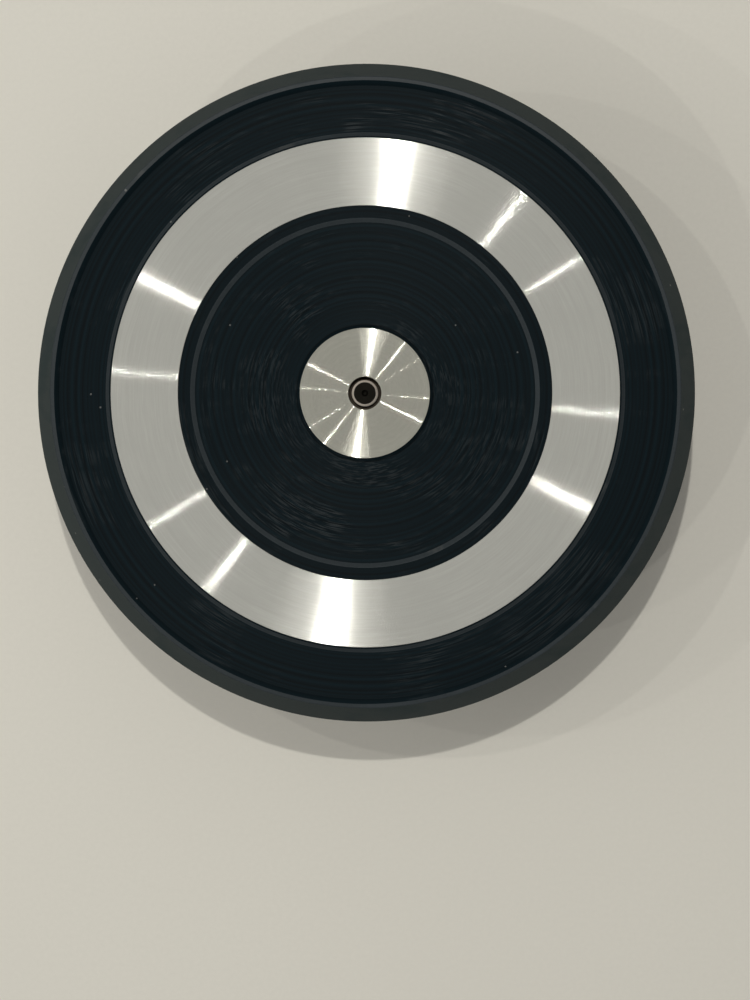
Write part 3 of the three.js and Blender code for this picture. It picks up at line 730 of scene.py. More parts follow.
def pattern_tree() -> NodeTree:
    """Returns a Geometry Nodes tree that sets copies of a piece evenly round the Z axis."""
    name = "round_pattern"
    if name in bpy.data.node_groups:
        return bpy.data.node_groups[name]
    tree = bpy.data.node_groups.new(name, "GeometryNodeTree")
    numbers = {"Circle": 0.0, "Start": 0.0, "Spacing": 0.0}
    sockets = {"Piece": GEOMETRY, "Count": INT, **numbers, "Material": "NodeSocketMaterial"}
    named_sockets(tree, "INPUT", sockets)
    named_sockets(tree, "OUTPUT", {"Pieces": GEOMETRY})
    graph = Graph(tree)
    given = graph.node("NodeGroupInput").outputs
    index = graph.node("GeometryNodeInputIndex").outputs[0]
    angle = graph.plus(graph.times(index, given["Spacing"]), given["Start"])
    x = graph.times(graph.math("COSINE", angle), given["Circle"])
    y = graph.times(graph.math("SINE", angle), given["Circle"])
    place = graph.node("ShaderNodeCombineXYZ", {0: x, 1: y}).outputs[0]
    turn = graph.node("ShaderNodeCombineXYZ", {2: angle}).outputs[0]
    points = graph.node("GeometryNodePoints", {"Count": given["Count"], "Position": place})
    inputs = {"Points": points.outputs[0], "Instance": given["Piece"], "Rotation": turn}
    copies = graph.node("GeometryNodeInstanceOnPoints", inputs)
    real = graph.node("GeometryNodeRealizeInstances", {"Geometry": copies.outputs[0]})
    inputs = {"Geometry": real.outputs[0], "Material": given["Material"]}
    dressed = graph.node("GeometryNodeSetMaterial", inputs)
    graph.node("NodeGroupOutput", {"Pieces": dressed.outputs[0]})
    return tree


def shown(name: str, mesh: Mesh) -> Object:
    """Returns a new object with a mesh, linked to the scene."""
    made = bpy.data.objects.new(name, mesh)
    bpy.context.scene.collection.objects.link(made)
    return made


def plain(source: Object, name: str) -> Object:
    """Replaces an object and its modifiers with a new object that holds only the result.

    Args:
        source: the object to evaluate and remove.
        name: the new object's name.

    Returns:
        The new object, at the origin.
    """
    depsgraph = bpy.context.evaluated_depsgraph_get()
    evaluated = source.evaluated_get(depsgraph)
    result = bpy.data.meshes.new_from_object(evaluated, preserve_all_data_layers=True, depsgraph=depsgraph)
    bpy.data.objects.remove(source)
    result.name = name
    while result.materials and result.materials[0] is None:
        result.materials.pop(index=0)
    return shown(name, result)


def grown(name: str, mesh: Mesh, tree: NodeTree, values: dict[str, object]) -> Object:
    """Runs a Geometry Nodes tree on a mesh.

    Args:
        name: the piece's name.
        mesh: what the tree works on.
        tree: the tree.
        values: the tree's inputs, by name.

    Returns:
        A plain object with the result.
    """
    carrier = shown(name + "_source", mesh)
    modifier = carrier.modifiers.new("shape", "NODES")
    modifier.node_group = tree
    identifiers = {
        item.name: item.identifier
        for item in tree.interface.items_tree
        if item.item_type == "SOCKET" and item.in_out == "INPUT"
    }
    for label, value in values.items():
        modifier[identifiers[label]] = value
    return plain(carrier, name)


def turned(
    name: str,
    points: Sequence[Point],
    finishes: Sequence[Finish],
    sides: int = SIDES,
    closed: bool = True,
) -> Object:
    """Turns an outline about Z.

    Args:
        name: the piece's name.
        points: the outline; one that isn't closed starts and ends on the axis.
        finishes: the finishes that its points number.
        sides: faces round the axis.
        closed: whether the last point joins the first.

    Returns:
        The piece.
    """
    tree = turned_tree([finish.material() for finish in finishes])
    values = {"Sides": sides, "Closed": int(closed), "Weld": WELD}
    return grown(name, outline_mesh(name, points), tree, values)


def solid(name: str, corners: Sequence[Corner], finishes: Sequence[Finish], sides: int) -> Object:
    """Turns rounded corners that start and end on the axis."""
    return turned(name, rounded(corners, closed=False), finishes, sides, closed=False)


def band(inner: float, outer: float, low: float, high: float, edge: float) -> list[Point]:
    """Returns the outline of a plain ring with eased edges."""
    ends = ((inner, low), (outer, low), (outer, high), (inner, high))
    return rounded([Corner(r, z, edge) for r, z in ends])


def arc(centre: float, level: float, radius: float, angles: Sequence[float]) -> list[Point]:
    """Returns outline points on a circle round (centre, level)."""
    return [(centre + radius * math.cos(a), level + radius * math.sin(a), 0) for a in angles]


def zigzag(radius: float, low: float, turns: int, pitch: float, depth: float, root: float) -> list[Point]:
    """Returns the edge of a thread.

    Args:
        radius: of the crests.
        low: where the first crest starts.
        turns: how many crests there are.
        pitch: from one to the next.
        depth: of the roots.
        root: where each root ends, in pitches.
    """
    steps = ((0.0, radius), (0.12, radius), (0.5, radius - depth), (root, radius - depth))
    return [(r, low + turn * pitch + share * pitch, 0) for turn in range(turns) for share, r in steps]


def lying(x: float, z: float) -> Matrix:
    """Returns the move that lays an upright bar along +X, starting at x and z."""
    return Matrix.Translation((x, 0, z)) @ Matrix.Rotation(math.pi / 2, 4, "Y")


def lifted(z: float) -> Matrix:
    """Returns the move that raises a piece by z."""
    return Matrix.Translation((0, 0, z))


def numbered(name: str, count: int) -> list[str]:
    """Returns the names of like nodes, numbered from 1."""
    return [f"{name}_{number}" for number in range(1, count + 1)]


@dataclass(frozen=True)
class Round:
    """Places set evenly round the axis: how many, how far out, and the first one's angle in degrees."""

    count: int
    circle: float
    start: float = 0.0
    spacing: float | None = None

    def copies(self, name: str, piece: Object, finish: Finish) -> Object:
        """Returns one piece that holds a copy of another at each place."""
        mesh = piece.data
        bpy.data.objects.remove(piece)
        step = 360 / self.count if self.spacing is None else self.spacing
        values = {
            "Count": self.count,
            "Circle": self.circle,
            "Start": math.radians(self.start),
            "Spacing": math.radians(step),
            "Material": finish.material(),
        }
        return grown(name, mesh, pattern_tree(), values)


def combined(piece: Object, other: Object, operation: str) -> Object:
    """Joins another solid to a piece or cuts it away, and removes the other.

    Args:
        piece: the piece that stays.
        other: the solid that is used up.
        operation: UNION or DIFFERENCE.

    Returns:
        The changed piece, as a new object of the same name.
    """
    name = piece.name
    piece.name = name + "_blank"
    modifier = piece.modifiers.new("combine", "BOOLEAN")
    modifier.operation = operation
    modifier.solver = "EXACT"
    modifier.object = other
    made = plain(piece, name)
    bpy.data.objects.remove(other)
    return made


def moved(piece: Object, matrix: Matrix) -> Object:
    """Moves a piece's mesh, so that its object stays at the origin."""
    piece.data.transform(matrix)
    return piece


def prism(name: str, radius: float, low: float, high: float, finish: Finish, sides: int) -> Object:
    """Returns a straight bar about Z, used to cut holes and sockets and to add bosses."""
    corners = [Corner(0.0, low), Corner(radius, low), Corner(radius, high), Corner(0.0, high)]
    made = solid(name, corners, [finish], sides)
    for polygon in made.data.polygons:
        polygon.use_smooth = False
    return made


def place(piece: Object, body: str, slot: str, *nodes: str) -> Object:
    """Sets a finished piece on its body, in place of its CAD nodes, and reports it.

    Args:
        piece: the finished piece.
        body: the body it moves with.
        slot: the record's material slot; not used.
        nodes: the CAD nodes it stands for.

    Returns:
        The piece.
    """
    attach(piece, body)
    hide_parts(*nodes)
    LOG.info("%s on %s: %d faces", piece.name, body, len(piece.data.polygons))
    return piece


# ------------------------------------------------------------------ the wheel head


@dataclass
class WheelHead:
    """The head: a casting with a hub and a skirt, its top turned into rings."""

    lip_width: float = 8 * MM
    lip_drop: float = 13 * MM
    edge_height: float = 3 * MM
    crest_width: float = 1.9 * MM
    step_width: float = 2.1 * MM
    outer_recess_width: float = 21.5 * MM
    outer_bevel_width: float = 1.6 * MM
    shoulder_width: float = 0.7 * MM
    ring_width: float = 31 * MM
    ledge_width: float = 5.7 * MM
    inner_bevel_width: float = 2 * MM
    centre_radius: float = 29.7 * MM
    cove_width: float = 1.6 * MM
    recess_depth: float = 1.5 * MM
    ledge_depth: float = 0.5 * MM
    plate: float = 6 * MM
    skirt_wall: float = 5 * MM
    spindle_radius: float = 6 * MM
    hub_wall: float = 15 * MM
    counterbore_gap: float = 1.6 * MM
    counterbore_depth: float = 6 * MM
    bore_gap: float = 0.03 * MM
    groove_pitch: float = 1.15 * MM
    groove_depth: float = 0.022 * MM
    groove_seed: int = 5
    finishes: tuple[Finish, ...] = (CAST_PAINT, LIP_PAINT, ENAMEL, LAND, BORE_PAINTED_SHADE, CENTRE_LAND, EDGE_PAINTED_HIGHLIGHT)

    def grooves(self, outer: float, inner: float, z: float, finish: int) -> list[Point]:
        """Returns the shallow turned grooves of a recess floor, from its outer edge inwards."""
        chance = random.Random(self.groove_seed)
        points: list[Point] = []
        r = outer - self.groove_pitch
        while r > inner + self.groove_pitch:
            depth = self.groove_depth * chance.uniform(0.3, 1.0)
            points.append((r, z, finish))
            r -= self.groove_pitch * chance.uniform(0.3, 0.6)
            points.append((r, z - depth, finish))
            r -= self.groove_pitch * chance.uniform(0.3, 0.6)
        return points

    def outline(self) -> list[Point]:
        """Returns the head's whole outline, from the hub's bottom out, up and back in."""
        low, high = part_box("wheel_head")
        radius, top, hub_bottom = high.x, high.z, low.z
        cast, lip, enamel, land, bore, middle_land, painted_edge_highlight = range(len(self.finishes))
        recess, ledge = top - self.recess_depth, top - self.ledge_depth
        under = recess - self.plate
        hub, skirt = self.spindle_radius + self.hub_wall, radius - self.skirt_wall
        edge = top - self.lip_drop
        bottom = edge - self.edge_height
        crest = radius - self.lip_width
        crest_in = crest - self.crest_width
        outer_out = crest_in - self.step_width
        outer_in = outer_out - self.outer_recess_width
        shoulder = outer_in - self.outer_bevel_width
        ring_out = shoulder - self.shoulder_width
        ring_in = ring_out - self.ring_width
        ledge_in = ring_in - self.ledge_width
        inner_out = ledge_in - self.inner_bevel_width
        cove = self.centre_radius + self.cove_width
        counterbore = self.spindle_radius + self.counterbore_gap
        bore_radius = self.spindle_radius + self.bore_gap
        below = [
            Corner(bore_radius, hub_bottom, 0.3 * MM, cast),
            Corner(hub, hub_bottom, 1.2 * MM, cast),
            Corner(hub, under, 6 * MM, cast),
            Corner(skirt, under, 4 * MM, cast),
            Corner(skirt, bottom, 1.5 * MM, lip),
            Corner(radius, bottom, 1.2 * MM, lip),
            Corner(radius, edge - 0.8 * MM, 1.2 * MM, lip),
            # The crest and the two bevels take the lighter edge finish, a painted highlight.
            Corner(crest, top, 0.5 * MM, painted_edge_highlight),
            Corner(crest_in, top, 0.3 * MM, enamel),
            Corner(outer_out, recess, 0.5 * MM, enamel),
        ]
        middle = [
            Corner(outer_in, recess, 0.4 * MM, painted_edge_highlight),
            Corner(shoulder, ledge, 0.2 * MM, enamel),
            Corner(ring_out, ledge, 0.12 * MM, enamel),
            Corner(ring_out - 0.05 * MM, top - 0.12 * MM, 0.0, land),
            Corner(ring_out - 0.2 * MM, top, 0.06 * MM, land),
            Corner(ring_in + 0.2 * MM, top, 0.06 * MM, land),
            Corner(ring_in + 0.05 * MM, top - 0.12 * MM, 0.0, enamel),
            Corner(ring_in, ledge, 0.12 * MM, enamel),
            Corner(ledge_in, ledge, 0.4 * MM, painted_edge_highlight),
            Corner(inner_out, recess, 0.5 * MM, enamel),
        ]
        centre = [
            Corner(cove, recess, 0.8 * MM, enamel),
            Corner(self.centre_radius + 0.25 * MM, top - 0.35 * MM, 0.2 * MM, enamel),
            Corner(self.centre_radius + 0.1 * MM, top - 0.1 * MM, 0.0, middle_land),
            Corner(self.centre_radius, top, 0.06 * MM, middle_land),
            Corner(counterbore + 0.2 * MM, top, 0.06 * MM, middle_land),
            # The counterbore walls and floor take the near-black bore finish, painted shade.
            Corner(counterbore, top - 0.25 * MM, 0.05 * MM, bore),
            Corner(counterbore, top - self.counterbore_depth, 0.2 * MM, bore),
            Corner(bore_radius, top - self.counterbore_depth, 0.05 * MM, bore),
        ]
        corners = [*below, *middle, *centre]
        points = rounded(corners)
        return self.with_grooves(points, [(outer_out, outer_in), (inner_out, cove)], recess, enamel)

    def with_grooves(
        self, points: list[Point], floors: list[tuple[float, float]], z: float, finish: int
    ) -> list[Point]:
        """Puts the turned grooves into the recess floors of an outline.

        Args:
            points: the outline.
            floors: outer and inner radius of each recess floor.
            z: height of the floors.
            finish: the finish number of the floors.

        Returns:
            The outline with the grooves in it.
        """
        result: list[Point] = []
        for index, point in enumerate(points):
            result.append(point)
            after = points[(index + 1) % len(points)]
            for outer, inner in floors:
                level = abs(point[1] - z) < WELD and abs(after[1] - z) < WELD
                wide = point[0] - after[0] > 5 * self.groove_pitch
                if level and wide and inner < after[0] < point[0] < outer:
                    result += self.grooves(point[0], after[0], z, finish)
        return result

    def build(self) -> Object:
        """Makes the head and cuts the holes for the set screws."""
        head = turned("wheel_head_casting", self.outline(), self.finishes)
        screw_low, screw_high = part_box("hub_set_screw_1")
        level = (screw_low.z + screw_high.z) / 2
        hole_radius = (screw_high.z - screw_low.z) / 2 + 0.3 * MM
        hole = prism("set_screw_hole", hole_radius, 3 * MM, 40 * MM, CAST_PAINT, SMALL_SIDES)
        moved(hole, lying(0, level))
        holes = Round(2, 0.0, 0.0, 90.0).copies("set_screw_holes", hole, CAST_PAINT)
        head = combined(head, holes, "DIFFERENCE")
        return place(head, "head", "head_casting", "wheel_head")


# ------------------------------------------------------------------ screws and rings


@dataclass
class Screw:
    """A screw that points up, its head's bearing face at z = 0, with a hexagon socket in the head."""

    radius: float
    grip: float
    head_radius: float
    head_height: float
    socket_radius: float
    socket_depth: float
    thread_pitch: float = 0.7 * MM
    thread_depth: float = 0.28 * MM

    def thread(self, low: float, high: float) -> list[Point]:
        """Returns the zigzag of the thread's edge, from low to high."""
        turns = int((high - low) / self.thread_pitch)
        return zigzag(self.radius, low, turns, self.thread_pitch, self.thread_depth, 0.62)

    def build(self, name: str, finish: Finish) -> Object:
        """Returns one screw on the Z axis."""
        head = [
            Corner(0.0, -self.head_height),
            Corner(self.head_radius, -self.head_height, 0.3 * self.head_height),
            Corner(self.head_radius, 0.0, 0.1 * MM),
            Corner(self.radius, 0.0, 0.1 * MM),
            Corner(self.radius, 0.4 * MM),
        ]
        tip = 0.6 * MM
        points = rounded(head, closed=False) + self.thread(0.5 * MM, self.grip - tip)
        points += [(self.radius - self.thread_depth - 0.1 * MM, self.grip, 0), (0.0, self.grip, 0)]
        made = turned(name, points, [finish], SMALL_SIDES, closed=False)
        low, high = -self.head_height - 1 * MM, self.socket_depth - self.head_height
        socket = prism(name + "_socket", self.socket_radius, low, high, finish, HEXAGON)
        return combined(made, socket, "DIFFERENCE")


def small_screw(name: str, grip: float, head_height: float) -> Object:
    """Returns a 4 mm plated screw, for the cap or a foot, with its head's bearing face at z = 0."""
    shape = Screw(2 * MM, grip, 3.6 * MM, head_height, 1.45 * MM, 1.2 * MM)
    return shape.build(name, PLATED_STEEL)


@dataclass
class RetainingRing:
    """An open spring ring cut from a sheet, widest opposite its gap, which faces +X."""

    radius: float
    width: float
    thickness: float
    low: float
    gap: float
    inward: bool = False
    steps: int = 72

    def outline(self) -> list[tuple[float, float]]:
        """Returns the ring's edge: along the seated side, then back along the free one."""
        half = math.radians(self.gap / 2)
        side = -1 if self.inward else 1
        seated, free = [], []
        for step in range(self.steps + 1):
            share = step / self.steps
            angle = half + (TURN - 2 * half) * share
            reach = self.radius + side * self.width * (0.62 + 0.38 * math.sin(math.pi * share))
            seated.append((self.radius * math.cos(angle), self.radius * math.sin(angle)))
            free.append((reach * math.cos(angle), reach * math.sin(angle)))
        return seated + free[::-1]

    def build(self, name: str, finish: Finish) -> Object:
        """Returns the ring, with its sharp sheet edges eased."""
        curve = bpy.data.curves.new(name, "CURVE")
        curve.dimensions = "2D"
        curve.fill_mode = "BOTH"
        ease = 0.08 * MM
        curve.extrude = self.thickness / 2 - ease
        curve.bevel_depth = ease
        curve.bevel_resolution = 2
        curve.offset = -ease
        loop = self.outline()
        spline = curve.splines.new("POLY")
        spline.points.add(len(loop) - 1)
        for point, (x, y) in zip(spline.points, loop):
            point.co = (x, y, 0.0, 1.0)
        spline.use_cyclic_u = True
        flat = shown(name + "_curve", curve)
        made = plain(flat, name)
        made.data.materials.clear()
        made.data.materials.append(finish.material())
        return moved(made, lifted(self.low + self.thickness / 2))


# ------------------------------------------------------------------ the spindle and what turns with it


@dataclass
class SpindleSet:
    """The spindle, its spacer, washer and retaining ring, the shaft seal and the hub's set screws."""

    radius: float = 6 * MM
    collar_radius: float = 8.9 * MM
    collar_length: float = 5 * MM
    chamfer: float = 1 * MM
    groove_depth: float = 0.8 * MM
    dimple_radius: float = 1.5 * MM
    dimple_depth: float = 1.2 * MM

    def spindle(self) -> Object:
        """Makes the shaft, with its collar, ring groove, chamfers and a centre mark in its end."""
        low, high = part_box("spindle")
        ring_low, ring_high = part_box("spindle_retaining_ring")
        hub_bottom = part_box("wheel_head")[0].z
        groove = self.radius - self.groove_depth
        corners = [
            Corner(0.0, low.z),
            Corner(self.radius - self.chamfer, low.z, 0.1 * MM),
            Corner(self.radius, low.z + self.chamfer, 0.1 * MM),
            Corner(self.radius, ring_low.z, 0.04 * MM),
            Corner(groove, ring_low.z, 0.04 * MM),
            Corner(groove, ring_high.z, 0.04 * MM),
            Corner(self.radius, ring_high.z, 0.04 * MM),
            Corner(self.radius, hub_bottom - self.collar_length, 0.1 * MM),
            Corner(self.collar_radius, hub_bottom - self.collar_length, 0.3 * MM),
            Corner(self.collar_radius, hub_bottom, 0.3 * MM),
            Corner(self.radius, hub_bottom, 0.1 * MM),
            Corner(self.radius, high.z - self.chamfer, 0.12 * MM),
            # The end face and centre mark take the near-black finish, painted shade.
            Corner(self.radius - self.chamfer, high.z, 0.12 * MM, 1),
            Corner(self.dimple_radius, high.z, 0.08 * MM, 1),
            Corner(0.0, high.z - self.dimple_depth, 0.0, 1),
        ]
        made = solid("spindle_shaft", corners, [SPINDLE_END, SPINDLE_END_PAINTED_SHADE], MIDDLE_SIDES)
        return place(made, "head", "spindle_steel", "spindle")

    def sleeve(self, node: str, name: str, finish: Finish, edge: float) -> Object:
        """Makes a plain sleeve or washer in the place of a CAD node, its edges eased."""
        low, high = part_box(node)
        inner = self.radius + 0.03 * MM
        return turned(name, band(inner, high.x, low.z, high.z, edge), [finish], MIDDLE_SIDES)

    def seal(self) -> Object:
        """Makes the rubber shaft seal: a body on the collar and a thin lip that flares down."""
        low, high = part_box("shaft_seal")
        inner = self.collar_radius + 0.03 * MM
        corners = [
            Corner(inner, low.z + 0.8 * MM, 0.2 * MM),
            Corner(inner + 1.3 * MM, low.z + 1.1 * MM, 0.3 * MM),
            Corner(high.x - 0.3 * MM, low.z, 0.1 * MM),
            Corner(high.x, low.z + 0.25 * MM, 0.1 * MM),
            Corner(inner + 2.1 * MM, low.z + 1.7 * MM, 0.3 * MM),
            Corner(inner + 2.3 * MM, high.z, 0.3 * MM),
            Corner(inner, high.z, 0.2 * MM),
        ]
        return turned("shaft_v_seal", rounded(corners), [SEAL_RUBBER], MIDDLE_SIDES)

    def set_screws(self) -> Object:
        """Makes the two headless screws that lock the hub to the spindle."""
        low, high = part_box("hub_set_screw_1")
        length, radius = high.x - low.x, (high.z - low.z) / 2
        pitch = 1 * MM
        points: list[Point] = [(0.0, 0.0, 0), (radius - 0.9 * MM, 0.0, 0)]
        points += zigzag(radius, 0.6 * MM, int(length / pitch) - 1, pitch, 0.45 * MM, 0.6)
        points += [(radius - 0.4 * MM, length, 0), (0.0, length, 0)]
        screw = turned("set_screw", points, [BLACK_STEEL], SMALL_SIDES, closed=False)
        low_end, high_end = length - 3 * MM, length + 1 * MM
        socket = prism("set_screw_socket", 1.7 * MM, low_end, high_end, BLACK_STEEL, HEXAGON)
        screw = combined(screw, socket, "DIFFERENCE")
        moved(screw, lying(low.x, (low.z + high.z) / 2))
        return Round(2, 0.0, 0.0, 90.0).copies("hub_set_screws", screw, BLACK_STEEL)

    def build(self) -> None:
        """Makes every piece of the set."""
        self.spindle()
        spacer = self.sleeve("race_spacer", "race_spacer_sleeve", PLATED_STEEL, 0.2 * MM)
        place(spacer, "head", "plated_steel", "race_spacer")
        washer = self.sleeve("spindle_washer", "spindle_shim", PLATED_STEEL, 0.1 * MM)
        place(washer, "head", "plated_steel", "spindle_washer")
        low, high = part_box("spindle_retaining_ring")
        ring = RetainingRing(self.radius - 0.5 * MM, 2.4 * MM, high.z - low.z, low.z, 44.0)
        place(ring.build("spindle_spring_ring", BLACK_STEEL), "head", "dark_steel", "spindle_retaining_ring")
        place(self.seal(), "head", "seal_rubber", "shaft_seal")
        place(self.set_screws(), "head", "dark_steel", "hub_set_screw_1", "hub_set_screw_2")


# ------------------------------------------------------------------ bearings


class Side(Enum):
    """The two bearings, by the names of their nodes and bodies."""

    UPPER = "upper"
    LOWER = "lower"


@dataclass
class Bearing:
    """One sealed ball bearing: two races, a cage of balls and two seals."""

    side: Side
    ball_count: int = 7
    ball_radius: float = 2.976 * MM
    race_wall: float = 3.15 * MM
    groove_radius: float = 3.1 * MM
    spindle_radius: float = 6 * MM
    edge: float = 0.5 * MM
    sides: int = 120

    def node(self, part: str) -> str:
        """Returns the name of one of this bearing's nodes."""
        return f"{self.side.value}_{part}"

    def middle(self) -> float:
        """Returns the height of the ball centres."""
        low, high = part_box(self.node("outer_race"))
        return (low.z + high.z) / 2

    def race(self, outer: bool) -> Object:
        """Makes one race, with its ball groove."""
        low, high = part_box(self.node("outer_race"))
        outside = high.x
        circle = (self.spindle_radius + outside) / 2
        level = self.middle()
        if outer:
            shoulder, back = outside - self.race_wall, outside
            centre = circle + self.ball_radius + 0.02 * MM - self.groove_radius
            reach = math.acos((shoulder - centre) / self.groove_radius)
            angles = [reach - 2 * reach * step / 12 for step in range(13)]
        else:
            shoulder, back = self.spindle_radius + self.race_wall, self.spindle_radius + 0.03 * MM
            centre = circle - self.ball_radius - 0.02 * MM + self.groove_radius
            reach = math.acos((centre - shoulder) / self.groove_radius)
            angles = [math.pi + reach - 2 * reach * step / 12 for step in range(13)]
        groove = arc(centre, level, self.groove_radius, angles)
        bottom = [Corner(back, low.z, self.edge), Corner(shoulder, low.z, 0.25 * MM)]
        top = [Corner(shoulder, high.z, 0.25 * MM), Corner(back, high.z, self.edge)]
        corners = [bottom[1], bottom[0], top[1], top[0]] if outer else [*top, *bottom]
        name = self.node("outer_ring" if outer else "inner_ring")
        return turned(name, rounded(corners) + groove, [BEARING_STEEL], self.sides)

    def balls(self) -> Object:
        """Makes the balls, set round the ball circle."""
        level = self.middle()
        steps = 16
        angles = [math.pi * step / steps - math.pi / 2 for step in range(1, steps)]
        points = arc(0.0, level, self.ball_radius, angles)
        points = [(0.0, level - self.ball_radius, 0), *points, (0.0, level + self.ball_radius, 0)]
        ball = turned(self.node("ball"), points, [BEARING_STEEL], 32, closed=False)
        return Round(self.ball_count, self.circle()).copies(self.node("balls"), ball, BEARING_STEEL)

    def circle(self) -> float:
        """Returns the radius of the ball circle."""
        return (self.spindle_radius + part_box(self.node("outer_race"))[1].x) / 2

    def cage(self) -> Object:
        """Makes the one-piece cage and cuts a pocket for each ball."""
        low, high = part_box(self.node("ball_cage"))
        outer = high.x
        inner = 2 * self.circle() - outer
        edge = 0.25 * MM
        outline = band(inner, outer, low.z, high.z, edge)
        blank = turned(self.node("cage"), outline, [NYLON], 16 * self.ball_count)
        cutter = prism(self.node("pocket"), self.ball_radius + 0.2 * MM, 0.0, 6 * MM, NYLON, SMALL_SIDES)
        moved(cutter, lying(self.circle() - 3 * MM, self.middle()))
        pockets = Round(self.ball_count, 0.0).copies(self.node("pockets"), cutter, NYLON)
        return combined(blank, pockets, "DIFFERENCE")

    def seal(self, part: str, up: float) -> Object:
        """Makes one rubber seal, dished towards the balls, with a moulded rib."""
        low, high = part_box(self.node(part))
        inner = self.spindle_radius + self.race_wall + 0.1 * MM
        face, back = (high.z, low.z) if up > 0 else (low.z, high.z)
        corners = [
            Corner(inner, back, 0.08 * MM),
            Corner(high.x, back, 0.08 * MM),
            Corner(high.x, face, 0.15 * MM),
            Corner(high.x - 0.7 * MM, face, 0.1 * MM),
            Corner(high.x - 1.0 * MM, face - up * 0.25 * MM, 0.1 * MM),
            Corner(inner + 1.0 * MM, face - up * 0.25 * MM, 0.1 * MM),
            Corner(inner + 0.8 * MM, face, 0.1 * MM),
            Corner(inner, face - up * 0.1 * MM, 0.1 * MM),
        ]
        ordered = corners if up > 0 else corners[::-1]
        name = self.node("seal_top" if up > 0 else "seal_bottom")
        return turned(name, rounded(ordered), [SEAL_RUBBER], self.sides)

    def build(self) -> None:
        """Makes every piece of the bearing."""
        body = f"{self.side.value}_cage"
        place(self.race(outer=False), "head", "bearing_steel", self.node("inner_race"))
        place(self.race(outer=True), "base", "bearing_steel", self.node("outer_race"))
        balls = numbered(self.node("ball"), self.ball_count)
        place(self.balls(), body, "bearing_steel", *balls)
        place(self.cage(), body, "cage_nylon", self.node("ball_cage"))
        for part, up in (("bearing_top_seal", 1.0), ("bearing_bottom_seal", -1.0)):
            place(self.seal(part, up), "base", "seal_rubber", self.node(part))


# ------------------------------------------------------------------ the pedestal


